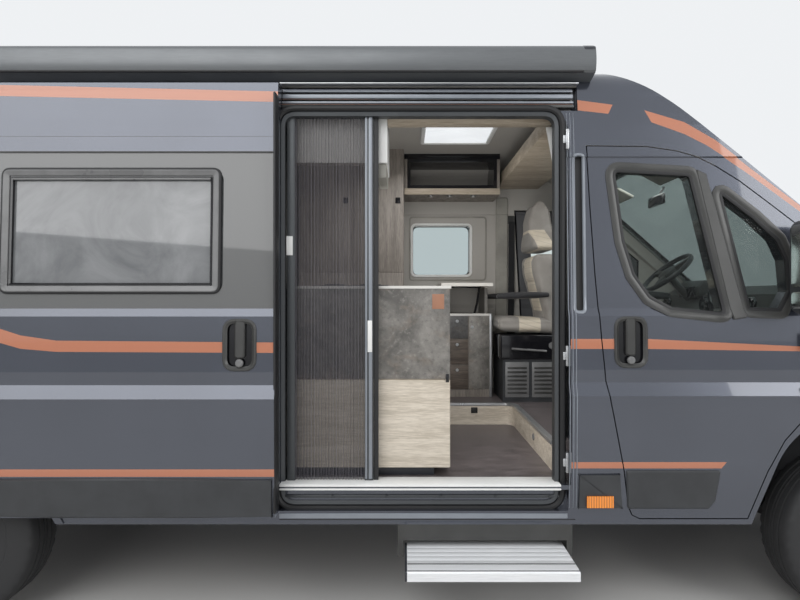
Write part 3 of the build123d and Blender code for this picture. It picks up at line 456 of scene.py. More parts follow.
@dataclass(frozen=True)
class Paint(Finish):
    """Metallic body paint with stripes, dark lines of painted shade at a crease and at a recess's top edge, and the
    lining on its inner side.
    """

    lining: Colour = (0.42, 0.4, 0.37)
    panel: bool = False
    stripe: Colour = (0.44, 0.155, 0.078)

    UPPER_TOP = mm(-2900, 2372, -1728, 2354, -541, 2325, 775, 2317, 946, 2293, 1083, 2268, 1258, 2212, 1394, 2130,
                   1544, 2007, 1782, 1825, 2100, 1560)
    UPPER_LOW = mm(-2900, 2318, -1728, 2304, -541, 2277, 775, 2268, 946, 2248, 1110, 2212, 1258, 2157, 1360, 2103,
                   1544, 1975, 1782, 1797, 2100, 1535)
    MID_TOP = mm(-2950, 1420, -1980, 1375, -1686, 1299, -1602, 1272, -1450, 1250, -536, 1242.5, 778, 1251.5, 1078,
                 1251.5, 1740, 1219, 2300, 1200)
    MID_LOW = mm(-2950, 1350, -1980, 1300, -1686, 1240, -1602, 1216, -1450, 1203, -536, 1198.7, 778, 1208, 1078, 1208,
                 1740, 1198, 2300, 1196)

    LOW_TOP = ((-0.53, 0.71), (0.78, 0.7175))
    LOW_LOW = ((-0.53, 0.6785), (0.78, 0.69))

    def dress(self, graph: Graph) -> None:
        """Add the paint's nodes."""
        x, y, z = graph.place()
        nx, ny, nz = graph.facing()
        upper = z.within(x.line(self.UPPER_LOW), x.line(self.UPPER_TOP))
        gap = x.within(0.925 + (z - 2.25) * 0.5, 1.115 - (z - 2.21) * 0.5)
        middle = z.within(x.line(self.MID_LOW), x.line(self.MID_TOP)) * (x < 2.05)
        lower = z.within(x.line(self.LOW_LOW), x.line(self.LOW_TOP)) * (x < 1.395 + (z - 0.69) * 0.8)
        sides = (abs(y) > 0.919) * (abs(ny) > 0.45)
        tails = x > -2.93
        stripes = ((upper * (1 - gap)) | middle | lower) * sides * tails * (x < 2.35)
        # Dark lines on the sliding door: painted shade in a crease and along the top edge of the recessed window band.
        lines = (z.within(2.0535, 2.0585) * (x < -0.5)) | (z.within(2.1215, 2.1235) * (x < -0.5))
        cloud = graph.noise(2.0, 3.0)
        flake = graph.noise(900.0, 1.0)
        paint = graph.mix(cloud.sweep(), shade(self.colour, 0.93), shade(self.colour, 1.07))
        paint = graph.mix(flake.sweep(0.45, 0.75), paint, shade(self.colour, 1.35))
        base = graph.mix(stripes, paint, self.stripe)
        base = graph.mix(lines * sides, base, (0.004, 0.004, 0.005))
        metal = (1 - stripes) * 0.62
        rough = stripes * 0.15 + 0.26
        if self.panel:
            foil = z.within(1.385, 2.0535) * sides
            base = graph.mix(foil, base, (0.085, 0.086, 0.085))
            metal = metal * (1 - foil)
            rough = rough + foil * 0.12
        inside = ((ny * y) < -0.02) | ((nz < -0.85) * (z > 1.4)) | ((nx > 0.85) * (x < -2.85))
        weave = graph.noise(400.0, 2.0)
        cloth = graph.mix(weave, shade(self.lining, 0.9), shade(self.lining, 1.1))
        graph.set(Base_Color=graph.mix(inside, base, cloth), Metallic=metal * (1 - inside),
                  Roughness=rough + inside * 0.5, Coat_Weight=1 - inside, Coat_Roughness=0.03)
        graph.bump(weave * inside, 0.15, 0.0008)


@dataclass(frozen=True)
class TwoTone(Finish):
    """One finish above a level and a darker, plain one below it."""

    level: float = 1.5
    below: Colour = (0.02, 0.02, 0.02)

    def dress(self, graph: Graph) -> None:
        """Mix both colours by height."""
        z = graph.place()[2]
        cloud = graph.noise(self.scale * 0.1, 4.0, 0.6)
        upper = z > self.level
        share = cloud.sweep(0.3, 0.7, 1 - self.grain, 1 + self.grain)
        tone = graph.mix(upper, self.below, self.colour)
        base = graph.mix(cloud.sweep() * self.grain, tone, (0.0, 0.0, 0.0))
        graph.set(Base_Color=base, Roughness=share * self.rough)
        graph.bump(graph.noise(self.scale * 12, 2.0), self.bump, 0.0006)


@dataclass(frozen=True)
class SeatHide(Finish):
    """Seat leather in taupe with cream quilted inserts, told apart by place on the seat."""

    insert: Colour = (0.62, 0.55, 0.44)
    centre: float = 0.5
    turned: bool = True

    def dress(self, graph: Graph) -> None:
        """Mask the inserts, sew their channels with painted shade in them and add the grain."""
        x, y, z = graph.place()
        off = abs(y - self.centre)
        cloud = graph.noise(9.0, 4.0)
        grain = graph.noise(260.0, 3.0, 0.6)
        nx = graph.facing()[0]
        middle = (off < 0.125) * z.within(1.24, 1.73) * ((nx < -0.3) if self.turned else (nx > 0.3))
        low = z < 1.345
        ends = (x.within(0.55, 0.632) | x.within(0.765, 0.905)) if self.turned else (x > 1.385)
        slant = (1.8855 - z) * 0.33
        side = x.within(0.842 + slant, 0.95 + slant) if self.turned else x.within(0.985 - slant, 1.095 - slant)
        side = side * z.within(1.745, 1.885)
        mask = (middle * (1 - low)) | (low * ends * (z > 1.16)) | side
        run = (z + x * (0.3 if self.turned else -0.3)).zigzag(28.0)
        fold = run.sweep(0.36, 0.5) * mask
        hide = graph.mix(cloud.sweep(), shade(self.colour, 0.84), self.colour)
        pale = graph.mix(cloud.sweep(), shade(self.insert, 0.9), self.insert)
        base = graph.mix(mask, hide, pale)
        # Painted shade in the quilted channels.
        base = graph.mix(fold * 0.35, base, shade(self.insert, 0.45))
        seam = abs(z - 1.734) < 0.0025
        base = graph.mix(seam * 0.7, base, (0.05, 0.045, 0.04))
        graph.set(Base_Color=base, Roughness=cloud.sweep(0.3, 0.7, self.rough * 0.92, self.rough * 1.05),
                  Sheen_Weight=0.1)
        graph.bump(grain * 0.25 - fold - seam, 0.35, 0.002)


@dataclass(frozen=True)
class Glass(Finish):
    """Thin glazing that lets light straight through and mirrors at an angle."""

    tint: Colour = (0.74, 0.79, 0.79)
    dark: bool = False

    def dress(self, graph: Graph) -> None:
        """Mix clear glass with a mirror by angle; the sliding door's pane is smoked."""
        x, y, _ = graph.place()
        facing = Val(graph, graph.node("ShaderNodeFresnel", inputs={0: 1.5}).outputs[0])
        haze = graph.noise(3.0, 5.0, 0.6, twist=1.5)
        smoked = (x < -0.6) * (y < -0.9) if self.dark else None
        graph.set(Base_Color=graph.ramp(haze, (0.3, (0.13, 0.135, 0.14)), (0.7, (0.25, 0.255, 0.26))), Roughness=0.04,
                  Coat_Weight=0.6, Coat_Roughness=0.02)
        share = facing * 0.6 + 0.012
        if smoked is not None:
            share = share | (smoked * 0.93)
        graph.veil(share, self.tint)


@dataclass(frozen=True)
class Wood(Finish):
    """Wood-look laminate with grain that runs one way."""

    dark: Colour = (0.2, 0.16, 0.13)
    run: Point = (1.0, 6.0, 14.0)

    def dress(self, graph: Graph) -> None:
        """Add long grain lines, broad bands and pores."""
        broad = graph.noise(2.2, 3.0, 0.5, self.run, 0.6)
        line = graph.noise(16.0, 5.0, 0.65, self.run, 0.35)
        pore = graph.noise(90.0, 2.0, 0.6, (self.run[0] * 0.5, self.run[1], self.run[2]))
        share = (line * 0.6 + broad * 0.4).sweep(0.36, 0.64)
        base = graph.mix(share, self.dark, self.colour)
        base = graph.mix(pore.sweep(0.56, 0.72) * 0.35, base, self.dark)
        graph.set(Base_Color=base, Roughness=share.sweep(0.0, 1.0, self.rough * 1.1, self.rough * 0.9))
        graph.bump(line + pore * 0.5, 0.12, 0.0006)


@dataclass(frozen=True)
class Stone(Finish):
    """Stone-look laminate: clouds of grey with rusty and pale flecks."""

    def dress(self, graph: Graph) -> None:
        """Add clouds, flecks and scratches."""
        cloud = graph.noise(5.0, 6.0, 0.62, twist=0.5)
        fleck = graph.noise(45.0, 5.0, 0.7)
        rust = graph.noise(8.0, 4.0, 0.6, (1.0, 1.0, 1.6))
        c = self.colour
        base = graph.ramp(cloud, (0.33, shade(c, 0.55)), (0.5, c), (0.67, shade(c, 1.45)))
        base = graph.mix(rust.sweep(0.52, 0.72) * 0.45, base, (c[0] * 1.35, c[1] * 1.12, c[2] * 0.95))
        base = graph.mix(fleck.sweep(0.52, 0.7) * 0.5, base, shade(c, 1.9))
        base = graph.mix(fleck.sweep(0.48, 0.34) * 0.45, base, shade(c, 0.4))
        graph.set(Base_Color=base, Roughness=cloud.sweep(0.3, 0.7, self.rough * 1.1, self.rough * 0.9))
        graph.bump(fleck, 0.1, 0.0005)


@dataclass(frozen=True)
class Brushed(Finish):
    """Metal with fine lines along X."""

    def dress(self, graph: Graph) -> None:
        """Add brushed lines to colour and roughness."""
        line = graph.noise(40.0, 4.0, 0.7, (0.3, 12.0, 12.0))
        cloud = graph.noise(4.0, 3.0)
        low = shade(self.colour, 0.86)
        graph.set(Base_Color=graph.mix(line.sweep(), low, self.colour), Metallic=self.metallic,
                  Roughness=cloud.sweep(0.3, 0.7, self.rough * 0.8, self.rough * 1.15))
        graph.bump(line, self.bump, 0.0004)


@dataclass(frozen=True)
class Fabric(Finish):
    """Woven or leather-look upholstery; a quilt adds a grid of sewn channels with painted shade in them."""

    quilt: float = 0.0

    def dress(self, graph: Graph) -> None:
        """Add a leather grain or weave, soft wear and sewn lines darkened with painted shade."""
        x, y, z = graph.place()
        cloud = graph.noise(9.0, 4.0)
        grain = graph.noise(260.0, 3.0, 0.6)
        low = shade(self.colour, 0.84)
        base = graph.mix(cloud.sweep(), low, self.colour)
        height = grain * 0.25
        if self.quilt:
            for axis in (x, y, z):
                fold = axis.zigzag(1.0 / self.quilt)
                height = height - fold.sweep(0.42, 0.5)
                # Painted shade in the sewn channels.
                base = graph.mix(fold.sweep(0.46, 0.5) * 0.4, base, shade(self.colour, 0.5))
        graph.set(Base_Color=base, Roughness=cloud.sweep(0.3, 0.7, self.rough * 0.92, self.rough * 1.05),
                  Sheen_Weight=0.15)
        graph.bump(height, 0.35, 0.002)


@dataclass(frozen=True)
class Vinyl(Finish):
    """Floor covering with long brushed streaks."""

    def dress(self, graph: Graph) -> None:
        """Add streaks along the van and darker clouds."""
        streak = graph.noise(9.0, 6.0, 0.65, (1.0, 3.5, 3.5), 0.3)
        speck = graph.noise(140.0, 2.0)
        base = graph.ramp(streak, (0.32, shade(self.colour, 0.6)), (0.66, shade(self.colour, 1.5)))
        base = graph.mix(speck.sweep(0.55, 0.7) * 0.2, base, shade(self.colour, 2.0))
        graph.set(Base_Color=base, Roughness=streak.sweep(0.3, 0.7, self.rough * 0.85, self.rough * 1.15))
        graph.bump(speck, 0.1, 0.0005)


@dataclass(frozen=True)
class Mesh(Finish):
    """Pleated insect mesh: dark threads with light between them."""

    pitch: float = 0.0075

    def dress(self, graph: Graph) -> None:
        """Let part of the light through, more on the pleats' flanks."""
        x = graph.place()[0]
        fold = x.zigzag(1.0 / self.pitch) * 2.0
        veil = graph.noise(60.0, 2.0, 0.5, (6.0, 1.0, 0.4))
        graph.set(Base_Color=graph.mix(fold, shade(self.colour, 0.5), self.colour), Roughness=0.6)
        share = fold.sweep(0.0, 1.0, 0.38, 0.7) + (veil - 0.5) * 0.1
        graph.veil(share, (1.0, 1.0, 1.0))


@dataclass(frozen=True)
class Glow(Finish):
    """Translucent plastic whose light from outside is painted as an even glow."""

    power: float = 1.0

    def dress(self, graph: Graph) -> None:
        """Add an even glow with a soft cloud."""
        cloud = graph.noise(3.0, 2.0)
        tone = graph.mix(cloud.sweep(), shade(self.colour, 0.9), self.colour)
        graph.set(Base_Color=tone, Roughness=self.rough, Emission_Color=tone, Emission_Strength=self.power)


@dataclass(frozen=True)
class Lens(Finish):
    """Moulded lamp cover with ribs."""

    def dress(self, graph: Graph) -> None:
        """Add ribs and a bright inner ground."""
        x = graph.place()[0]
        rib = x.zigzag(90.0) * 2.0
        low = shade(self.colour, 0.45)
        graph.set(Base_Color=graph.mix(rib, low, self.colour), Roughness=0.12, Coat_Weight=1.0, Coat_Roughness=0.03)
        graph.bump(rib, 0.4, 0.001)


@dataclass(frozen=True)
class LampBody(Finish):
    """Headlamp whose glass tapers along the wing; the corner below it is painted."""

    paint: Colour = BODY_BLUE

    def dress(self, graph: Graph) -> None:
        """Tell glass from paint by a slanted line and rib the glass."""
        x, y, z = graph.place()
        line = (2.74 - x).math("MAXIMUM", 0.0) * 0.52 + 0.858
        glass = z > line
        edge = abs(z - line) < 0.005
        rib = y.zigzag(60.0) * 2.0
        lens = graph.mix(rib * (x > 2.7), shade(self.colour, 0.7), self.colour)
        base = graph.mix(glass, self.paint, lens)
        graph.set(Base_Color=graph.mix(edge, base, (0.006, 0.006, 0.007)), Metallic=(1 - glass) * 0.62,
                  Roughness=0.28 - glass * 0.2, Coat_Weight=1.0, Coat_Roughness=0.03)
        graph.bump(rib * glass * (x > 2.7), 0.3, 0.001)


@dataclass(frozen=True)
class Palette:
    """Every finish on the van."""

    body: Paint = Paint("body_paint", "body_paint", BODY_BLUE)
    door: Paint = Paint("sliding_door_paint", "body_paint", BODY_BLUE, panel=True)
    cab_door: Paint = Paint("cab_door_paint", "body_paint", BODY_BLUE, lining=(0.1, 0.1, 0.105))
    glass: Glass = Glass("glazing", "glass", dark=True)
    door_glass: Glass = Glass("door_glazing", "glass", tint=(0.86, 0.9, 0.88))
    plain: Finish = Finish("jamb_paint", "body_paint", (0.07, 0.077, 0.095), 0.3, 0.55, grain=0.06, bump=0.02)
    # Lighter copy of the body paint: painted highlights on the slide rail, pillar rims, sill, jamb and screen bar.
    rail: Finish = Finish("rail_paint", "body_paint", (0.24, 0.26, 0.29), 0.34, 0.25, grain=0.06, bump=0.02)
    rubber: Finish = Finish("seal_rubber", "black_plastic", (0.012, 0.012, 0.013), 0.55)
    cladding: Finish = Finish("grained_cladding", "black_plastic", (0.034, 0.036, 0.039), 0.52, bump=0.25, scale=90)
    trim: Finish = Finish("satin_trim", "black_plastic", (0.045, 0.045, 0.043), 0.33)
    gloss: Finish = Finish("gloss_black", "black_plastic", (0.01, 0.01, 0.012), 0.12)
    frame_grey: Finish = Finish("window_frame_grey", "black_plastic", (0.16, 0.16, 0.16), 0.3)
    awning: Brushed = Brushed("awning_case", "awning_grey", (0.15, 0.158, 0.164), 0.36, 0.45, bump=0.02)
    cap: Finish = Finish("end_cap", "black_plastic", (0.022, 0.024, 0.03), 0.42)
    alloy: Brushed = Brushed("step_alloy", "aluminium", (0.86, 0.87, 0.88), 0.4, 0.15, bump=0.12)
    bare: Brushed = Brushed("bare_alloy", "aluminium", (0.55, 0.56, 0.57), 0.34, 0.8, bump=0.06)
    screen_rail: Brushed = Brushed("screen_rail", "aluminium", (0.075, 0.08, 0.085), 0.38, 0.5, bump=0.04)
    white: Finish = Finish("white_plastic", "white_laminate", (0.78, 0.78, 0.76), 0.42, grain=0.03)
    worktop: Finish = Finish("worktop_laminate", "white_laminate", (0.68, 0.66, 0.62), 0.35, grain=0.05)
    stone: Stone = Stone("stone_laminate", "kitchen_laminate", (0.175, 0.165, 0.15), 0.42)
    dark_stone: Stone = Stone("dark_stone_laminate", "kitchen_laminate", (0.085, 0.083, 0.082), 0.42)
    beige: Wood = Wood("beige_wood", "kitchen_laminate", (0.7, 0.63, 0.53), 0.45, dark=(0.46, 0.4, 0.32))
    taupe: Wood = Wood("taupe_wood", "taupe_wood", (0.275, 0.245, 0.215), 0.5, dark=(0.155, 0.135, 0.118),
                       run=(14.0, 6.0, 1.0))
    shelf: Wood = Wood("shelf_wood", "taupe_wood", (0.15, 0.122, 0.1), 0.5, dark=(0.07, 0.056, 0.047))
    vinyl: Vinyl = Vinyl("floor_vinyl", "floor_vinyl", (0.098, 0.084, 0.084), 0.42)
    driver_hide: SeatHide = SeatHide("driver_hide", "upholstery", (0.29, 0.27, 0.245), 0.55)
    passenger_hide: SeatHide = SeatHide("passenger_hide", "upholstery", (0.29, 0.27, 0.245), 0.55, centre=-0.48,
                                        turned=False)
    dark_hide: Fabric = Fabric("armrest_hide", "upholstery", (0.022, 0.022, 0.024), 0.5)
    board: Wood = Wood("header_wood", "taupe_wood", (0.5, 0.43, 0.34), 0.5, dark=(0.34, 0.28, 0.21))
    belt: Fabric = Fabric("belt_webbing", "black_plastic", (0.018, 0.018, 0.02), 0.7)
    pillar: Finish = Finish("pillar_trim", "upholstery", (0.3, 0.29, 0.26), 0.6, bump=0.2)
    chrome: Brushed = Brushed("bright_trim", "aluminium", (0.7, 0.71, 0.72), 0.16, 1.0, bump=0.0)
    reflector: Brushed = Brushed("lamp_reflector", "aluminium", (0.75, 0.76, 0.78), 0.12, 1.0, bump=0.0)
    # Glow on the running lights and the roof light: painted light from outside.
    day: Glow = Glow("running_light", "lamp_lens", (0.95, 0.97, 1.0), 0.3, power=0.35)
    clear: Lens = Lens("clear_lens", "lamp_lens", (0.8, 0.82, 0.84))
    plate: Finish = Finish("blank_plate", "white_laminate", (0.72, 0.72, 0.68), 0.35, grain=0.03)
    steel_disc: Brushed = Brushed("brake_disc", "wheel_alloy", (0.3, 0.3, 0.31), 0.35, 1.0, bump=0.05)
    screen: Finish = Finish("dark_screen", "black_plastic", (0.006, 0.007, 0.009), 0.08, grain=0.05, bump=0.0)
    table_top: TwoTone = TwoTone("table_finish", "white_laminate", (0.66, 0.63, 0.58), 0.4, grain=0.05, level=1.5,
                                 below=(0.2, 0.19, 0.175))
    ticking: Fabric = Fabric("mattress_ticking", "upholstery", (0.62, 0.6, 0.56), 0.8, quilt=0.12)
    pleats: Mesh = Mesh("pleated_mesh", "black_plastic", (0.175, 0.168, 0.19))
    tyre: Finish = Finish("tyre_rubber", "tyre", (0.022, 0.022, 0.023), 0.75, bump=0.3)
    wheel: Brushed = Brushed("wheel_alloy", "wheel_alloy", (0.32, 0.33, 0.34), 0.3, 0.9, bump=0.02)
    steel: Finish = Finish("chassis_paint", "chassis_steel", (0.03, 0.03, 0.032), 0.5, 0.3, bump=0.25)
    cast: Finish = Finish("cast_block", "cast_block", (0.13, 0.13, 0.13), 0.6, 0.7, bump=0.4)
    pipe: Finish = Finish("exhaust_steel", "exhaust_steel", (0.26, 0.23, 0.2), 0.42, 0.9, bump=0.2)
    amber: Lens = Lens("amber_lens", "amber_lens", (1.0, 0.3, 0.015))
    red: Lens = Lens("red_lens", "red_lens", (0.55, 0.012, 0.01))
    lamp: LampBody = LampBody("lamp_lens", "lamp_lens", (0.16, 0.17, 0.18))
    skylight: Glow = Glow("roof_light_glow", "roof_light", (0.84, 0.87, 0.9), 0.4, power=0.78)
    dome: Finish = Finish("roof_light_dome", "roof_light", (0.2, 0.2, 0.22), 0.15)
    tag: Finish = Finish("copper_tag", "kitchen_laminate", (0.34, 0.165, 0.1), 0.5)


PAL = Palette()


def rounded(points: POINTS2, radius: float, steps: int = 6) -> POINTS2:
    """Round the corners of a closed outline.

    Args:
        points: The outline's corners in order.
        radius: Corner radius in metres, made smaller where runs are short.
        steps: Points on each corner.
    Returns:
        The rounded outline.
    """
    out: POINTS2 = []
    count = len(points)
    for i, corner in enumerate(points):
        p, a, b = (Vector(q) for q in (corner, points[i - 1], points[(i + 1) % count]))
        u, v = (a - p), (b - p)
        turn = u.angle(v)
        reach = min(radius / math.tan(turn / 2) if turn < 3.13 else 0.0, 0.49 * u.length, 0.49 * v.length)
        if reach < 1e-5:
            out.append(tuple(p))
            continue
        start, end = p + u.normalized() * reach, p + v.normalized() * reach
        for k in range(steps + 1):
            t = k / steps
            out.append(tuple(start * (1 - t) ** 2 + p * 2 * t * (1 - t) + end * t ** 2))
    return out


def rect(x0: float, x1: float, z0: float, z1: float, radius: float = 0.0, steps: int = 6) -> POINTS2:
    """Rectangle with round corners as an outline."""
    corners = [(x0, z0), (x1, z0), (x1, z1), (x0, z1)]
    return rounded(corners, radius, steps) if radius else corners


def dense(points: POINTS2, step: float = 0.06) -> POINTS2:
    """Add points to the long runs of a closed outline."""
    out: POINTS2 = []
    for (a, b), (c, d) in zip(points, points[1:] + points[:1]):
        parts = max(1, int(math.hypot(c - a, d - b) / step))
        out += [(a + (c - a) * k / parts, b + (d - b) * k / parts) for k in range(parts)]
    return out


def inset(points: POINTS2, amount: float) -> POINTS2:
    """Move a closed outline inwards by an amount, or outwards by a negative one."""
    area = sum(a * d - c * b for (a, b), (c, d) in zip(points, points[1:] + points[:1]))
    side = 1.0 if area > 0 else -1.0
    out: POINTS2 = []
    for i, here in enumerate(points):
        p, a, b = (Vector(q) for q in (here, points[i - 1], points[(i + 1) % len(points)]))
        u, v = (p - a).normalized(), (b - p).normalized()
        normal = Vector((-(u + v).y, (u + v).x))
        if normal.length < 1e-6:
            normal = Vector((-u.y, u.x))
        normal.normalize()
        stretch = max(0.5, normal.dot(Vector((-u.y, u.x))))
        out.append(tuple(p + normal * side * amount / stretch))
    return out


class Form:
    """Mesh under construction in the van's frame, in metres."""

    def __init__(self) -> None:
        """Start empty."""
        self.bm = bmesh.new()

    def absorb(self, other: bmesh.types.BMesh) -> "Form":
        """Take in another mesh."""
        holder = bpy.data.meshes.new("holder")
        other.to_mesh(holder)
        other.free()
        self.bm.from_mesh(holder)
        bpy.data.meshes.remove(holder)
        return self

    def prism(self, outline: POINTS2, axis: str, a: float, b: float, bevel: float = 0.0015,
              segments: int = 2) -> "Form":
        """Add an outline drawn across an axis and pulled along it.

        Args:
            outline: Points in the two other axes, in X, Y, Z order.
            axis: "x", "y" or "z".
            a: Start along the axis.
            b: End along the axis.
            bevel: Rounding of both rims.
            segments: Steps of the rounding.
        Returns:
            The form.
        """
        bm = bmesh.new()
        spot = {"x": lambda p: (a, p[0], p[1]), "y": lambda p: (p[0], a, p[1]), "z": lambda p: (p[0], p[1], a)}[axis]
        face = bm.faces.new([bm.verts.new(spot(p)) for p in outline])
        moved = bmesh.ops.extrude_face_region(bm, geom=[face])["geom"]
        top = [g for g in moved if isinstance(g, bmesh.types.BMVert)]
        push = Vector({"x": (b - a, 0, 0), "y": (0, b - a, 0), "z": (0, 0, b - a)}[axis])
        bmesh.ops.translate(bm, verts=top, vec=push)
        bmesh.ops.recalc_face_normals(bm, faces=bm.faces)
        if bevel:
            caps = [f for f in bm.faces if abs(f.normal.dot(push.normalized())) > 0.99]
            rims = [e for e in bm.edges if len([f for f in e.link_faces if f in caps]) == 1]
            bmesh.ops.bevel(bm, geom=rims, offset=bevel, segments=segments, affect="EDGES", profile=0.5,
                            clamp_overlap=True)
        return self.absorb(bm)

    def box(self, lo: Point, hi: Point, bevel: float = 0.002, segments: int = 2) -> "Form":
        """Add a block with rounded edges."""
        bm = bmesh.new()
        bmesh.ops.create_cube(bm, size=1.0)
        for v in bm.verts:
            v.co = Vector([(lo[i] + hi[i]) / 2 + v.co[i] * (hi[i] - lo[i]) for i in range(3)])
        bmesh.ops.bevel(bm, geom=list(bm.edges), offset=min(bevel, 0.45 * min(hi[i] - lo[i] for i in range(3))),
                        segments=segments, affect="EDGES", profile=0.5)
        return self.absorb(bm)

    def panel(self, outline: POINTS2, skin: Surface, lift: float, depth: float = 0.01, rim: float = 0.003) -> "Form":
        """Add a plate that follows a surface, with a rounded rim.

        Args:
            outline: Closed outline in the surface's two coordinates.
            skin: Surface it lies on.
            lift: How far its face stands out.
            depth: How far its rim reaches back.
            rim: Width of the rounding.
        Returns:
            The form.
        """
        bm = bmesh.new()
        low, high = min(b for _, b in outline), max(b for _, b in outline)
        left, right = min(a for a, _ in outline), max(a for a, _ in outline)
        bm.faces.new([bm.verts.new((a, 0.0, b)) for a, b in inset(outline, rim)])
        for axis, place in skin.cuts(left, right, low, high):
            at, way = Vector(), Vector()
            at[axis], way[axis] = place, 1.0
            bmesh.ops.bisect_plane(bm, geom=[*bm.faces, *bm.edges, *bm.verts], plane_co=at, plane_no=way)
        lifts = {v: lift for v in bm.verts}
        for ring_lift, spread in ((lift - rim, True), (lift - depth, False)):
            border = [e for e in bm.edges if e.is_boundary]
            ring = bmesh.ops.extrude_edge_only(bm, edges=border)["geom"]
            for v in (g for g in ring if isinstance(g, bmesh.types.BMVert)):
                lifts[v] = ring_lift
                if spread:
                    near = self._nearest(outline, (v.co.x, v.co.z))
                    v.co = Vector((near[0], 0.0, near[1]))
        for v, height in lifts.items():
            v.co = skin.spot(v.co.x, v.co.z, height)
        bmesh.ops.recalc_face_normals(bm, faces=bm.faces)
        self._turn_out(bm, skin)
        return self.absorb(bm)

    @staticmethod
    def _nearest(outline: POINTS2, at: tuple[float, float]) -> tuple[float, float]:
        """Point of a closed outline nearest to a place."""
        best, found = 1e9, at
        p = Vector(at)
        for a, b in zip(outline, outline[1:] + outline[:1]):
            u, v = Vector(a), Vector(b)
            run = v - u
            t = max(0.0, min(1.0, (p - u).dot(run) / max(run.length_squared, 1e-12)))
            gap = (u + run * t - p).length
            if gap < best:
                best, found = gap, tuple(u + run * t)
        return found

    @staticmethod
    def _turn_out(bm: bmesh.types.BMesh, skin: Surface) -> None:
        """Turn an open sheet so that its face looks the way of its surface."""
        if sum(f.normal.dot(skin.look) * f.calc_area() for f in bm.faces) < 0:
            bmesh.ops.reverse_faces(bm, faces=bm.faces)

    @staticmethod
    def bridge(bm: bmesh.types.BMesh, rows: list[list[bmesh.types.BMVert]], closed: bool = False) -> None:
        """Join rings of points with faces, and the last with the first where closed."""
        for first, second in zip(rows, rows[1:] + rows[:closed]):
            for k in range(len(first)):
                j = (k + 1) % len(first)
                bm.faces.new((first[k], first[j], second[j], second[k]))

    def hoop(self, outline: POINTS2, skin: Surface, profile: POINTS2) -> "Form":
        """Add a frame that runs round an outline on a surface.

        Args:
            outline: Closed outline in the surface's two coordinates.
            skin: Surface it lies on.
            profile: Section as pairs of inset from the outline and lift from the surface.
        Returns:
            The form.
        """
        bm = bmesh.new()
        rings = [[bm.verts.new(skin.spot(a, b, lift)) for a, b in inset(outline, amount)] for amount, lift in profile]
        self.bridge(bm, rings)
        self._turn_out(bm, skin)
        return self.absorb(bm)

    def lathe(self, profile: POINTS2, centre: Point, axis: str = "y", steps: int = 32) -> "Form":
        """Turn a profile of radius and position about an axis.

        Args:
            profile: Pairs of radius and place along the axis.
            centre: Point on the axis from which places are counted.
            axis: "x", "y" or "z".
            steps: Divisions of the circle.
        Returns:
            The form.
        """
        bm = bmesh.new()
        rows = []
        for radius, at in profile:
            row = []
            for k in range(steps):
                c, s = math.cos(2 * math.pi * k / steps) * radius, math.sin(2 * math.pi * k / steps) * radius
                local = {"x": (at, c, s), "y": (c, at, s), "z": (c, s, at)}[axis]
                row.append(bm.verts.new(Vector(centre) + Vector(local)))
            rows.append(row)
        self.bridge(bm, rows)
        bmesh.ops.remove_doubles(bm, verts=bm.verts, dist=1e-6)
        bmesh.ops.recalc_face_normals(bm, faces=bm.faces)
        return self.absorb(bm)

    def pipe(self, path: list[Point], radius: float, sides: int = 10) -> "Form":
        """Add a round bar along a path."""
        bm = bmesh.new()
        spots = [Vector(p) for p in path]
        count = len(spots)
        rows = []
        side = None
        for i, p in enumerate(spots):
            before = spots[i - 1] if i else p
            after = spots[i + 1] if i < count - 1 else p
            run = (after - before).normalized()
            if side is None:
                side = run.orthogonal().normalized()
            side = (side - run * side.dot(run)).normalized()
            other = run.cross(side)
            rows.append([bm.verts.new(p + (side * math.cos(2 * math.pi * k / sides)
                                           + other * math.sin(2 * math.pi * k / sides)) * radius)
                         for k in range(sides)])
        self.bridge(bm, rows)
        for end in (rows[0], rows[-1]):
            bm.faces.new(end)
        bmesh.ops.recalc_face_normals(bm, faces=bm.faces)
        return self.absorb(bm)

    def turned(self, matrix: Matrix) -> "Form":
        """Move the whole mesh by a matrix."""
        bmesh.ops.transform(self.bm, matrix=matrix, verts=self.bm.verts)
        return self

    def finish(self, name: str, finish: Finish, body: str = "van_body", sharp: float = 32.0,
               smooth: bool = True) -> bpy.types.Object:
        """Make the object, dress it and let it ride.

        Args:
            name: Piece name.
            finish: Its surface finish.
            body: CAD body it rides on.
            sharp: Angle in degrees above which an edge stays sharp.
            smooth: Whether faces are shaded smooth.
        Returns:
            The object.
        """
        for f in self.bm.faces:
            f.smooth = smooth
        limit = math.radians(sharp)
        for e in self.bm.edges:
            if len(e.link_faces) == 2 and e.calc_face_angle(0.0) > limit:
                e.smooth = False
        data = bpy.data.meshes.new(name)
        self.bm.to_mesh(data)
        self.bm.free()
        made = bpy.data.objects.new(name, data)
        bpy.context.scene.collection.objects.link(made)
        made.data.materials.append(finish.material())
        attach(made, body)
        LOG.info("%s: %d faces on %s", name, len(data.polygons), body)
        return made


def dress_node(node: str, finish: Finish) -> None:
    """Give a CAD node its finish."""
    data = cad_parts[node].data
    data.materials.clear()
    data.materials.append(finish.material())


# Lift, depth and rim of the side cladding, and the turned shape of a cupboard knob
CLADDING = (0.009, 0.012, 0.006)
KNOB = mm(0, 6, 9, 6, 12, 4, 12, 0)


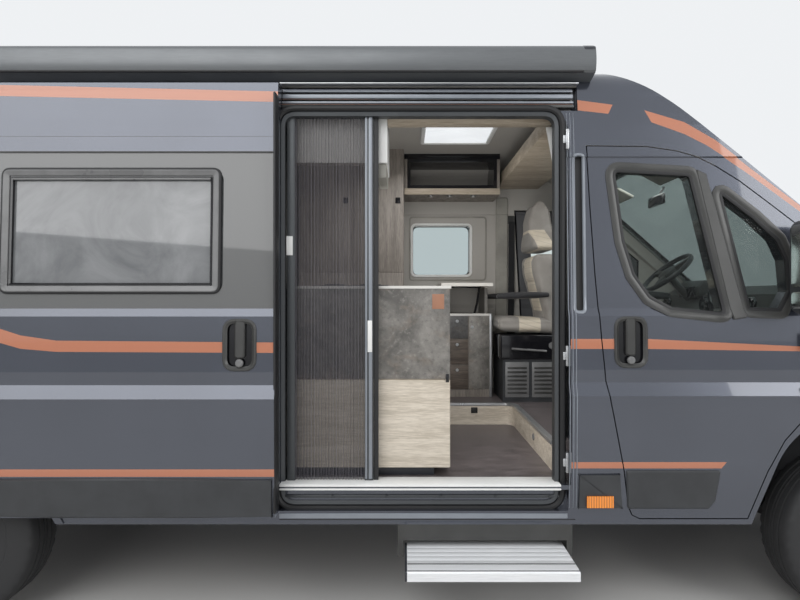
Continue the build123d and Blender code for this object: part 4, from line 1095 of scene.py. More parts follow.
@dataclass
class Handle:
    """Pull handle: dark oval recess, upright bar and a lock below."""

    x0: float
    x1: float
    z0: float
    z1: float
    skin: Skin
    body: str
    tag: str

    def build(self) -> None:
        """Make the bezel, recess, bar and lock."""
        outline = dense(rect(self.x0, self.x1, self.z0, self.z1, 0.055, 10), 0.03)
        Form().hoop(outline, self.skin, mm(0, -4, 0, 3, 4, 7, 10, 7, 14, 3, 20, -1)).finish(
            f"handle_bezel_{self.tag}", PAL.trim, self.body)
        pan = Form().panel(inset(outline, 0.001), self.skin, -0.0165, 0.001, 0.001)
        pan.hoop(inset(outline, 0.001), self.skin, [(0.0, -0.017), (0.0, 0.001)])
        pan.finish(f"handle_pan_{self.tag}", PAL.gloss, self.body)
        mid = (self.x0 + self.x1) / 2
        Form().panel(dense(rect(mid - 0.0215, mid + 0.0215, self.z0 + 0.0535, self.z1 - 0.006, 0.016), 0.03),
                     self.skin, 0.007, 0.024, 0.006).finish(f"handle_bar_{self.tag}", PAL.trim, self.body)
        spot = self.skin.y(mid, self.z0 + 0.034)
        side = self.skin.flank.value
        Form().lathe([(0.0, side * 0.011), (0.012, side * 0.011), (0.016, side * 0.008), (0.018, 0.0)],
                     (mid, spot, self.z0 + 0.034), "y", 20).finish(
            f"handle_lock_{self.tag}", PAL.frame_grey, self.body)


@dataclass
class SlidingDoor:
    """Dress of the door slid open: window, cladding and handle."""

    x0: float = -1.795
    x1: float = -0.535
    skin: Skin = Skin(Flank.RIGHT, SLIDE_OUT)
    window: POINTS2 = field(default_factory=lambda: rect(-1.7, -0.766, 1.45, 1.984, 0.035))

    def build(self) -> None:
        """Build every piece of the door's dress."""
        outline = dense(self.window)
        Form().hoop(outline, self.skin, mm(-3, -4, -3, 6, 1, 10, 10, 12, 12, 8)).finish("door_window_seal", PAL.rubber)
        Form().hoop(outline, self.skin, mm(6, 0, 6, 11, 10, 13, 30, 9, 34, 5, 40, -16)).finish(
            "door_window_frame", PAL.frame_grey)
        Form().hoop(outline, self.skin, mm(34, 0, 34, 7, 39, 8, 44, 2, 44, -12)).finish("door_window_bead", PAL.gloss)
        Form().prism(mm(-1660, 1935, -810, 1935, -810, 1945, -1660, 1945), "y", self.skin.y(-1, 1.94, 0.006),
                     self.skin.y(-1, 1.94, -0.004), 0.002).finish("door_window_hinge", PAL.frame_grey)
        Form().panel(rect(self.x0 + 0.002, self.x1 - 0.001, 0.502, 0.672, 0.004), self.skin, 0.01, 0.012,
                     0.007).finish("door_cladding", PAL.cladding)
        Handle(-0.75, -0.606, 1.121, 1.342, self.skin, "van_body", "side_door").build()
        edge = Form()
        edge.box((self.x1 - 0.0005, -1.1, 0.52), (self.x1 + 0.01, -1.03, 2.3), 0.004)
        edge.finish("door_edge_seal", PAL.rubber)


@dataclass
class SideTrim:
    """Cladding and pillar grooves of both sides, rails and frame of the side opening."""

    skin: Skin = Skin(Flank.RIGHT)

    def build(self) -> None:
        """Build the cladding and pillar groove of both sides, then the opening's rails and frame."""
        for flank in Flank:
            skin = Skin(flank)
            tag = flank.name.lower()
            clad = Form()
            clad.panel(rounded(mm(772, 509, 972, 509, 957, 668, 772, 668), 0.004), skin, *CLADDING)
            clad.panel(rounded(mm(-2900, 509, -2490, 509, -2440, 600, -2420, 668, -2930, 668), 0.004), skin, *CLADDING)
            if flank is Flank.LEFT:
                clad.panel(rounded(mm(-1480, 509, 760, 509, 760, 668, -1530, 668), 0.004), skin, *CLADDING)
            clad.finish(f"cladding_{tag}", PAL.cladding, smooth=False)
            well = dense(rect(0.77, 0.806, 1.372, 2.06, 0.014))
            core = Form().panel(inset(well, 0.001), skin, -0.0165, 0.001, 0.001)
            core.hoop(inset(well, 0.0008), skin, [(0.0, -0.017), (0.0, 0.0004)])
            core.finish(f"pillar_groove_{tag}", PAL.rubber)
            # Bright rim round the groove: painted highlight on the pressed edge.
            Form().hoop(well, skin, mm(-12, -1, -8, 1.8, 0, 2.2, 3.5, -4)).finish(f"pillar_rib_{tag}", PAL.rail)
        self.rails()
        self.frame()

    def rails(self) -> None:
        """Build the upper slide rail with its painted highlights, the gutter, the floor track, the threshold and the
        sill's painted highlight.
        """
        # Light bands on the slide rail: painted highlights.
        light = Form()
        for z0, z1, y in ((2.3555, 2.3645, -0.9285), (2.3235, 2.3415, -0.94), (2.2985, 2.308, -0.948)):
            light.box((-0.529, y, z0), (0.772, -0.9155, z1), 0.002)
        light.finish("slide_rail_ribs", PAL.rail)
        Form().box((-0.529, -0.9525, 2.2785), (0.772, -0.9155, 2.2925), 0.002).finish("slide_rail_lip", PAL.trim)
        Form().box((-0.534, -0.918, 2.265), (0.789, -0.9151, 2.3795), 0.001).finish("slide_rail_channel", PAL.gloss)
        Form().box((-0.535, -0.968, 2.3805), (0.79, -0.925, 2.385), 0.001).finish("gutter_lip", PAL.bare)
        track = Form()
        track.box((-0.528, -0.972, 0.546), (0.712, -0.96, 0.56), 0.003)
        for k in range(5):
            track.lathe(mm(0, -4, 5, -3, 7, 0), (-0.3 + 0.24 * k, -0.972, 0.553), "y", 12)
        track.finish("floor_track", PAL.screen_rail)
        Form().box((-0.528, -1.016, 0.6075), (0.7, -0.9, 0.6185), 0.003).finish("threshold", PAL.white)
        Form().box((-0.528, -1.0165, 0.5925), (0.7, -1.0, 0.601), 0.003).finish("threshold_bead", PAL.white)
        # Bright band along the sill: painted highlight.
        Form().panel(rect(-0.53, 0.73, 0.4665, 0.4895), self.skin, 0.002, 0.003, 0.001).finish("sill_flat", PAL.rail)
        Form().panel(rect(-0.53, 0.765, 0.46, 0.464), self.skin, 0.0012, 0.002, 0.0005).finish(
            "sill_joint", PAL.rubber)

    def frame(self) -> None:
        """Build the rubber seal round the opening, its inner frame, the latches and the jamb's painted highlights."""
        outline = dense(rect(-0.545, 0.715, 0.502, 2.268, 0.085, 10))
        flat = Flat(1, JAMB_Y)
        Form().hoop(outline, flat, mm(-16, -20, -16, 8, -8, 16, 2, 16, 10, 8, 12, -20)).finish(
            "opening_seal", PAL.rubber)
        Form().hoop(dense(inset(outline, 0.013)), flat, mm(0, -30, 0, 6, 4, 9, 20, 6, 23, -30)).finish(
            "opening_inner_frame", PAL.screen_rail)
        latch = Form()
        for z in (1.175, 0.705, 2.13):
            latch.box((0.728, -0.99, z - 0.045), (0.742, -0.955, z + 0.045), 0.004)
            latch.box((0.716, -0.984, z - 0.018), (0.735, -0.965, z + 0.018), 0.004)
        latch.finish("door_catches", PAL.bare)
        # Three bright strips on the jamb: painted highlights.
        ribs = Form()
        for x in (0.7365, 0.752, 0.7665):
            ribs.panel(rect(x - 0.0022, x + 0.0022, 0.515, 2.255), self.skin, 0.0035, 0.005, 0.0015)
        ribs.finish("jamb_ribs", PAL.rail)


@dataclass
class CabDoor:
    """Dress of a cab door: window rubber, divider bar, handle and cladding."""

    flank: Flank = Flank.RIGHT
    window: POINTS2 = field(default_factory=lambda: mm(
        935, 2000, 1285, 1980, 1430, 1352, 1185, 1380, 1090, 1430, 1020, 1530, 975, 1680))
    quarter: POINTS2 = field(default_factory=lambda: mm(
        1400, 1915, 1560, 1790, 1665, 1690, 1705, 1600, 1715, 1460, 1665, 1372, 1525, 1377))

    def build(self) -> None:
        """Build every piece of the door's dress."""
        tag = self.flank.name.lower()
        body = f"door_front_{tag}"
        skin = Skin(self.flank)
        for name, outline, radius in (("window", self.window, 0.03), ("quarter", self.quarter, 0.018)):
            loop = dense(rounded(outline, radius), 0.04)
            Form().hoop(loop, skin, mm(-34, -2, -33, 4, -24, 6, -6, 5, 2, 1, 4, -6, 4, -11)).finish(
                f"{name}_rubber_{tag}", PAL.trim, body)
            Form().hoop(loop, skin, mm(-2, 3, 3, 4, 12, 1, 13, -11)).finish(f"{name}_lip_{tag}", PAL.rubber, body)
        Form().panel(rounded(mm(1305, 2000, 1350, 1978, 1512, 1345, 1452, 1335), 0.004), skin, 0.009, 0.012,
                     0.003).finish(f"window_divider_{tag}", PAL.trim, body)
        Handle(0.932, 1.078, 1.125, 1.35, skin, body, f"front_{tag}").build()
        Form().panel(rounded(mm(990, 511, 1345, 511, 1372, 545, 1391, 681, 980, 681), 0.012), skin, *CLADDING).finish(
            f"door_cladding_{tag}", PAL.cladding, body)


@dataclass
class Awning:
    """Dress of the roof-edge awning: end caps and the shadow gap below."""

    x0: float = -2.9
    x1: float = 0.856

    def build(self) -> None:
        """Build the end caps and the dark strip painted as the shadow gap below."""
        outline = rounded(mm(-1000, 2428, -1000, 2530, -970, 2547.5, -862, 2549, -855, 2490, -905, 2425), 0.012)
        for tag, a, b in (("front", self.x1 - 0.05, self.x1 + 0.0005), ("rear", self.x0 - 0.0005, self.x0 + 0.05)):
            Form().prism(outline, "x", a, b, 0.003).finish(f"awning_cap_{tag}", PAL.cap)
        # Black strip under the awning: painted shadow.
        Form().box((self.x0 + 0.05, -1.001, 2.42), (self.x1 - 0.05, -0.972, 2.4285), 0.003).finish(
            "awning_lip", PAL.rubber)


@dataclass
class FlyScreen:
    """Pleated screen, part drawn: side frame, pleats, handle bar and top rail."""

    x0: float = -0.505
    bar: float = -0.16
    y: float = -0.945
    z0: float = 0.6165
    z1: float = 2.236
    pleats: int = 44

    def build(self) -> None:
        """Build every piece of the screen."""
        x0, bar, y, z0, z1 = self.x0, self.bar, self.y, self.z0, self.z1
        posts = Form()
        posts.box((x0, y - 0.013, z0), (x0 + 0.036, y + 0.013, z1), 0.004)
        posts.box((bar, y - 0.013, z0), (bar + 0.04, y + 0.013, z1), 0.005)
        # Bright strips on the handle bar: painted highlights.
        shine = Form().box((bar + 0.003, y - 0.016, z0 + 0.01), (bar + 0.012, y - 0.01, z1), 0.002)
        shine.box((bar + 0.019, y - 0.016, z0 + 0.01), (bar + 0.034, y - 0.01, z1), 0.002)
        shine.finish("screen_bar_ribs", PAL.rail)
        posts.box((x0 + 0.035, y - 0.012, z1), (0.68, y + 0.012, z1 + 0.0075), 0.002)
        frame_piece = posts.finish("screen_frame", PAL.screen_rail)
        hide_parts("fly_screen")
        folds = Form()
        start, end = x0 + 0.036, bar
        pitch = (end - start) / self.pleats
        verts = []
        for i in range(self.pleats + 1):
            depth = y + (0.008 if i % 2 else -0.008)
            verts.append([folds.bm.verts.new((start + i * pitch, depth, z)) for z in (z0 + 0.004, z1)])
        for a, b in zip(verts, verts[1:]):
            folds.bm.faces.new((a[0], b[0], b[1], a[1]))
        folds.finish("screen_pleats", PAL.pleats, smooth=False)
        tags = Form()
        tags.box((x0 - 0.002, y - 0.0155, 1.62), (x0 + 0.026, y - 0.012, 1.705), 0.001)
        tags.box((bar + 0.014, y - 0.019, 1.19), (bar + 0.034, y - 0.015, 1.33), 0.001)
        tags.finish("screen_pulls", PAL.white)
        Form().box((bar + 0.041, y - 0.004, z0), (bar + 0.062, y + 0.004, z1), 0.001).finish(
            "screen_brush", PAL.rubber)


@dataclass
class Step:
    """Slide-out step: ribbed alloy tread with two rubber strips and dark end caps."""

    x0: float = 0.02
    x1: float = 0.72
    y0: float = -1.24
    y1: float = -0.95
    top: float = 0.34
    thick: float = 0.039

    def build(self) -> None:
        """Build the tread, strips and caps."""
        outline = [(self.y0, self.top - self.thick), (self.y0, self.top - 0.006), (self.y0 + 0.006, self.top)]
        for k in range(4):
            at = self.y0 + 0.105 + k * 0.042
            outline += [(at, self.top), (at + 0.002, self.top - 0.001), (at + 0.005, self.top - 0.001),
                        (at + 0.007, self.top)]
        outline += [(self.y1 + 0.01, self.top), (self.y1 + 0.01, self.top - self.thick)]
        tread = Form().prism(outline, "x", self.x0 + 0.008, self.x1 - 0.001, 0.001)
        made = tread.finish("step_board", PAL.alloy, "step")
        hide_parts("step_tread")
        strips = Form()
        for y in (self.y0 + 0.006, self.y0 + 0.07):
            strips.box((self.x0 + 0.009, y, self.top - 0.002), (self.x1 - 0.002, y + 0.007, self.top + 0.0012), 0.001)
        strips.finish("step_strips", PAL.rubber, "step")
        caps = Form()
        caps.prism(rounded([(self.y0 - 0.0005, self.top - self.thick - 0.001), (self.y0 - 0.0005, self.top + 0.001),
                            (self.y1, self.top + 0.001), (self.y1, self.top - self.thick - 0.001)], 0.006), "x",
                   self.x0 - 0.0005, self.x0 + 0.0085, 0.002)
        caps.finish("step_cap", PAL.cap, "step")


@dataclass
class Kitchen:
    """Dress of the kitchen unit: laminate fronts, latch, tag, drawers, sink and hob."""

    x0: float = -0.977
    x1: float = 0.223
    near: float = -0.89
    aisle: float = -0.37
    split: float = 1.059
    low: float = 0.658
    top: float = 1.473

    def build(self) -> None:
        """Build every piece of the kitchen's dress."""
        for name, finish, z0, z1 in (("stone", PAL.stone, self.split + 0.0025, self.top - 0.0005),
                                     ("wood", PAL.beige, self.low + 0.0005, self.split - 0.0025)):
            side = Form().box((self.x0, self.near - 0.003, z0), (self.x1 + 0.0004, self.near + 0.0004, z1), 0.0012)
            side.box((self.x1 - 0.0004, self.near + 0.001, z0), (self.x1 + 0.003, self.aisle - 0.001, z1), 0.0012)
            side.finish(f"kitchen_side_{name}", finish)
        columns = ((self.x0 + 0.002, -0.5815), (-0.5745, -0.1815), (-0.1745, self.x1 - 0.002))
        drawers, upper, knobs = Form(), Form(), Form()
        for a, b in columns:
            for z0, z1 in ((0.662, 0.8585), (0.8655, 1.0555)):
                drawers.box((a, self.aisle - 0.0004, z0), (b, self.aisle + 0.004, z1), 0.0015)
                knobs.lathe(KNOB, ((a + b) / 2, self.aisle + 0.0035, z1 - 0.035), "y", 20)
            upper.box((a, self.aisle - 0.0004, 1.0625), (b, self.aisle + 0.004, self.top - 0.012), 0.0015)
            knobs.lathe(KNOB, ((a + b) / 2, self.aisle + 0.0035, 1.4), "y", 20)
        drawers.finish("kitchen_drawers", PAL.beige)
        upper.finish("kitchen_upper_fronts", PAL.stone)
        knobs.finish("kitchen_knobs", PAL.bare)
        latch = Form().box((0.206, self.near - 0.007, 1.047), (0.2205, self.near - 0.0025, 1.084), 0.003)
        latch.box((0.2105, self.near - 0.01, 1.056), (0.216, self.near - 0.006, 1.075), 0.002)
        latch.finish("kitchen_latch", PAL.gloss)
        Form().box((0.144, self.near - 0.0042, 1.38), (0.1985, self.near - 0.0028, 1.448), 0.0012).finish(
            "kitchen_tag", PAL.tag)
        Form().box((self.x0, -0.8622, 0.6155), (0.1542, -0.398, 0.6575), 0.001).finish("kitchen_plinth", PAL.cap)
        self.appliances()

    def appliances(self) -> None:
        """Build the sink, its tap and the hob on the worktop."""
        Form().prism(rect(-0.86, -0.5, -0.8, -0.46, 0.05), "z", 1.4853, 1.4885, 0.0015).finish("sink_rim", PAL.chrome)
        Form().prism(rect(-0.84, -0.52, -0.78, -0.48, 0.04), "z", 1.4886, 1.4925, 0.0015).finish(
            "sink_cover", PAL.screen)
        Form().prism(rect(-0.42, -0.06, -0.8, -0.46, 0.02), "z", 1.4853, 1.4905, 0.0015).finish(
            "hob_plate", PAL.screen)
        rings = Form()
        for x in (-0.33, -0.15):
            rings.lathe(mm(30, 0, 52, 0, 54, 4, 50, 8, 32, 8, 30, 0), (x, -0.63, 1.4906), "z", 28)
        rings.finish("hob_rings", PAL.steel)
        tap = Form().lathe(mm(0, 0, 22, 0, 22, 6, 14, 12, 12, 90, 0, 95), (-0.68, -0.835, 1.4855), "z", 20)
        tap.pipe([(-0.68, -0.832, 1.56), (-0.68, -0.8, 1.585), (-0.68, -0.74, 1.588), (-0.68, -0.7, 1.572)], 0.008)
        tap.finish("sink_tap", PAL.chrome)


@dataclass
class Lounge:
    """Dress of the raised platform: riser faces, bright edge trim, vent and socket."""

    edge_y: float = 0.24
    edge_x: float = 0.715
    radius: float = 0.06

    def lane(self, out: float) -> POINTS2:
        """Edge of the platform, moved into the aisle by out."""
        cx, cy, r = self.edge_x - self.radius, self.edge_y - self.radius, self.radius - out
        bend = [(cx + r * math.cos(t), cy + r * math.sin(t)) for t in (math.radians(90 - 11.25 * k) for k in range(9))]
        return [(-0.099, self.edge_y - out)] + bend + [(self.edge_x - out, -0.789)]

    def band(self, inner: float, outer: float) -> POINTS2:
        """Closed outline between two lanes."""
        return self.lane(inner) + self.lane(outer)[::-1]

    def build(self) -> None:
        """Build every piece of the platform's dress."""
        Form().prism(self.band(-0.0003, 0.003), "z", 0.6158, 0.738, 0.0).finish("platform_riser", PAL.beige)
        trim = Form().prism(self.band(-0.026, 0.0065), "z", 0.7502, 0.7535, 0.001)
        trim.prism(self.band(0.0002, 0.0065), "z", 0.7365, 0.7503, 0.001)
        trim.finish("platform_edge_trim", PAL.bare)
        Form().box((0.445, self.edge_y - 0.009, 0.69), (0.4865, self.edge_y - 0.003, 0.7265), 0.002).finish(
            "platform_vent", PAL.rubber)
        slats = Form()
        for k in range(4):
            z = 0.6955 + k * 0.0075
            slats.box((0.449, self.edge_y - 0.0105, z), (0.4825, self.edge_y - 0.0085, z + 0.003), 0.0008)
        slats.finish("platform_vent_slats", PAL.trim)
        Form().lathe(mm(0, 0, 9, 0, 10, -3, 16, -4, 19, -2, 19, 4), (self.edge_x - 0.004, -0.397, 0.683), "x",
                     24).finish("platform_socket", PAL.frame_grey)


@dataclass
class FarSide:
    """Dress of the far wall: window frame, drawers, cupboard doors, pillar trim and belt."""

    wall: Lining = Lining()
    front: float = 0.5

    def build(self) -> None:
        """Build every piece of the far side's dress."""
        window = dense(rect(0.075, 0.511, 1.6, 1.976, 0.03))
        Form().hoop(window, self.wall, mm(-13, 0, -13, 8, -9, 11, 2, 11, 5, 6, 6, -72)).finish(
            "side_window_frame_inner", PAL.white)
        Form().hoop(dense(rect(0.05, 0.632, 1.56, 2.04, 0.03)), self.wall,
                    mm(0, 0, 0, 4, 2, 5.5, 10, 5.5, 12, 4, 12, 0)).finish("wall_panel_bead", PAL.pillar)
        self.drawers()
        self.cupboard()
        self.pillar()

    def drawers(self) -> None:
        """Build the fronts of the cabinet under the table."""
        y0, y1 = self.front - 0.0045, self.front + 0.0004
        Form().box((0.303, y0, 1.1515), (0.4525, y1, 1.305), 0.0015).finish("drawer_front_upper", PAL.dark_stone)
        low = Form().box((0.303, y0, 0.9745), (0.4525, y1, 1.1445), 0.0015)
        low.box((0.303, y0, 0.8055), (0.4525, y1, 0.9675), 0.0015)
        low.finish("drawer_fronts_lower", PAL.shelf)
        Form().box((0.4595, y0, 0.8055), (0.597, y1, 1.305), 0.0015).finish("cabinet_door_far", PAL.stone)
        Form().box((0.2985, y0 - 0.001, 1.307), (0.602, y1, 1.3235), 0.0015).finish("cabinet_top_edge", PAL.worktop)
        Form().box((0.6005, 0.496, 0.7505), (0.619, 0.516, 1.3235), 0.003).finish("cabinet_post", PAL.bare)
        knobs = Form()
        for x, z in ((0.378, 1.27), (0.378, 1.11), (0.378, 0.935), (0.482, 1.23)):
            knobs.lathe(mm(0, -6, 8, -6, 11, -4, 11, 0), (x, y0, z), "y", 20)
        knobs.finish("drawer_knobs", PAL.bare)
        bracket = Form().box((0.312, 0.515, 1.4985), (0.545, 0.535, 1.5125), 0.003)
        bracket.pipe([(0.533, 0.525, 1.5), (0.52, 0.525, 1.4), (0.5, 0.525, 1.3245)], 0.008)
        bracket.finish("table_bracket", PAL.gloss)

    def cupboard(self) -> None:
        """Build the tall cupboard's doors and handles."""
        doors, plates = Form(), Form()
        for a, b in ((-0.697, -0.3475), (-0.3425, 0.007)):
            for z0, z1 in ((0.64, 1.6), (1.606, 2.4)):
                doors.box((a, 0.4455, z0), (b, 0.4504, z1), 0.0018)
            z = 2.0916
            plates.box((b - 0.052, 0.4405, z - 0.02), (b - 0.018, 0.446, z + 0.02), 0.003)
            plates.box((b - 0.046, 0.4385, z - 0.013), (b - 0.024, 0.441, z + 0.013), 0.002)
            plates.box((b - 0.052, 0.4405, 1.05), (b - 0.018, 0.446, 1.09), 0.003)
        doors.finish("tall_cupboard_doors", PAL.taupe)
        plates.finish("tall_cupboard_handles", PAL.gloss)
        Form().box((0.0096, 0.452, 0.76), (0.0125, 0.9, 2.4), 0.001).finish("tall_cupboard_side", PAL.taupe)

    def pillar(self) -> None:
        """Build trim and belts on both B-pillars."""
        for flank in Flank:
            sign, tag = flank.value, flank.name.lower()
            skin = Lining(flank)
            Form().panel(dense(rect(0.7, 0.79, 0.8, 2.18, 0.02), 0.1), skin, 0.016, 0.018, 0.006).finish(
                f"pillar_trim_{tag}", PAL.pillar)
            Form().panel(dense(rect(0.792, 0.838, 1.24, 2.0, 0.004), 0.1), skin, 0.03, 0.003, 0.001).finish(
                f"belt_{tag}", PAL.belt)
            anchor = Form().box((0.785, sign * 0.89 - 0.018, 1.985), (0.845, sign * 0.89 + 0.018, 2.05), 0.008, 3)
            anchor.box((0.785, sign * 0.905 - 0.022, 1.18), (0.845, sign * 0.905 + 0.015, 1.26), 0.008, 3)
            anchor.finish(f"belt_anchors_{tag}", PAL.trim)


@dataclass
class Lockers:
    """Dress of the overhead lockers, the header board, the shelf over the cab and the roof light."""

    def build(self) -> None:
        """Build every piece up there."""
        Form().box((0.0155, 0.5455, 2.396), (0.6805, 0.5504, 2.452), 0.0015).finish("far_shelf_band", PAL.gloss)
        # Black lining inside the open shelf: painted shade.
        Form().hoop(rect(0.0365, 0.6595, 2.1925, 2.3965), Flat(1, 0.5505), mm(0, 0, 0, 3, 22, 3, 24, -320)).finish(
            "far_shelf_inner", PAL.gloss)
        Form().box((0.0155, 0.544, 2.452), (0.6805, 0.5504, 2.46), 0.0015).finish("far_shelf_top_edge", PAL.worktop)
        Form().box((0.0155, 0.5445, 2.1495), (0.6805, 0.5504, 2.192), 0.0018).finish("far_shelf_lip", PAL.board)
        Form().box((0.0365, 0.876, 2.1905), (0.6595, 0.8797, 2.4115), 0.001).finish("far_shelf_back", PAL.shelf)
        Form().box((0.0365, 0.552, 2.1903), (0.6595, 0.8755, 2.1935), 0.001).finish("far_shelf_floor", PAL.board)
        spot = Form()
        for x in (0.2, 0.333, 0.5):
            spot.lathe(mm(0, -10, 16, -10, 20, -6, 21, 0), (x, 0.6, 2.1498), "z", 20)
        spot.finish("shelf_lamps", PAL.chrome)
        fronts, caps = Form(), Form()
        for a, b in ((-0.948, -0.6425), (-0.6335, -0.3525), (-0.3435, -0.064)):
            fronts.box((a, -0.5604, 2.108), (b, -0.5555, 2.395), 0.0018)
            caps.box(((a + b) / 2 - 0.03, -0.556, 2.122), ((a + b) / 2 + 0.03, -0.5515, 2.138), 0.002)
        fronts.finish("near_locker_fronts", PAL.board)
        caps.finish("near_locker_handles", PAL.gloss)
        Form().box((-0.112, -0.906, 2.043), (-0.06, -0.562, 2.244), 0.004).finish("near_locker_end", PAL.white)
        Form().box((-0.52, -0.9085, 2.043), (-0.1125, -0.9005, 2.244), 0.002).finish("near_locker_back", PAL.worktop)
        Form().box((-0.108, -0.89, 1.978), (-0.064, -0.6, 2.043), 0.006).finish("near_locker_valance", PAL.pillar)
        header = Form().box((-0.0595, -0.9035, 2.2255), (0.6895, -0.8998, 2.2895), 0.001)
        header.box((-0.0595, -0.9035, 2.2225), (0.6895, -0.835, 2.2252), 0.001)
        header.finish("header_board_face", PAL.board)
        edge = Form().box((0.6965, -0.799, 2.2345), (0.7004, 0.799, 2.3105), 0.0015)
        edge.box((0.6965, -0.799, 2.2325), (0.999, 0.799, 2.2358), 0.0015)
        edge.finish("over_cab_shelf_face", PAL.board)
        Form().prism(mm(668, 2215, 716, 2215, 716, 2018, 705, 2018), "y", -0.872, -0.858, 0.002).finish(
            "pillar_gusset", PAL.white)
        self.roof_light()

    @staticmethod
    def roof_light() -> None:
        """Build the roof light's inner frame and its lit pane."""
        outline = rect(0.118, 0.572, -0.215, 0.318, 0.03)
        Form().hoop(dense(outline), Flat(2, 2.4535), mm(0, 0, 0, 12, 6, 18, 22, 18, 28, 10, 30, 2)).finish(
            "roof_light_frame", PAL.white)
        # The pane's glow is painted daylight.
        Form().prism(inset(outline, 0.024), "z", 2.443, 2.446, 0.0).finish("roof_light_pane", PAL.skylight)


PADS: list["Pad"] = []


@dataclass
class Pad:
    """Cushion: a slightly small closed shape, blown up by cloth pressure and sewn."""

    name: str
    form: Form
    finish: Finish
    voxel: float = 0.012
    cap: float = 0.012
    fill: float = 0.75
    pressure: float = 4.0
    mould: Callable[[Vector], Vector] | None = None
    groove: Callable[[Vector, Vector], float] | None = None
    body: str = "van_body"

    def start(self) -> bpy.types.Object:
        """Make the piece and queue it for the simulation.

        Returns:
            The piece, still in its first shape.
        """
        self.made = self.form.finish(self.name, self.finish, self.body)
        remesh = self.made.modifiers.new("voxels", "REMESH")
        remesh.mode = "VOXEL"
        remesh.voxel_size = self.voxel
        self.settle()
        if self.mould:
            for v in self.made.data.vertices:
                v.co = self.mould(v.co)
        self.rest = [v.co.copy() for v in self.made.data.vertices]
        cloth = self.made.modifiers.new("blow", "CLOTH")
        cloth.settings.use_pressure = True
        cloth.settings.uniform_pressure_force = self.pressure
        cloth.settings.effector_weights.gravity = 0.0
        cloth.point_cache.frame_start, cloth.point_cache.frame_end = 1, CLOTH_FRAMES
        PADS.append(self)
        return self.made

    def settle(self) -> None:
        """Apply the piece's modifiers to its mesh."""
        graph = bpy.context.evaluated_depsgraph_get()
        data = bpy.data.meshes.new_from_object(self.made.evaluated_get(graph))
        self.made.modifiers.clear()
        data.materials.clear()
        data.materials.append(self.finish.material())
        self.made.data = data

    def end(self) -> None:
        """Cap the swelling, sew the grooves and smooth the result."""
        self.settle()
        data = self.made.data
        for v, rest in zip(data.vertices, self.rest):
            move = v.co - rest
            if move.length > self.cap:
                v.co = rest + move.normalized() * self.cap
        data.update()
        if self.groove:
            ways = [v.normal.copy() for v in data.vertices]
            for v, way, rest in zip(data.vertices, ways, self.rest):
                v.co = v.co - way * self.groove(rest, way)
        fine = self.made.modifiers.new("fine", "SUBSURF")
        fine.levels = 1
        self.settle()
        for polygon in self.made.data.polygons:
            polygon.use_smooth = True

    @staticmethod
    def run_all() -> None:
        """Simulate every queued pad in one run."""
        scene = bpy.context.scene
        for frame_number in range(1, CLOTH_FRAMES + 1):
            scene.frame_set(frame_number)
        for pad in PADS:
            pad.end()
            LOG.info("%s: %d faces", pad.name, len(pad.made.data.polygons))
        scene.frame_set(1)


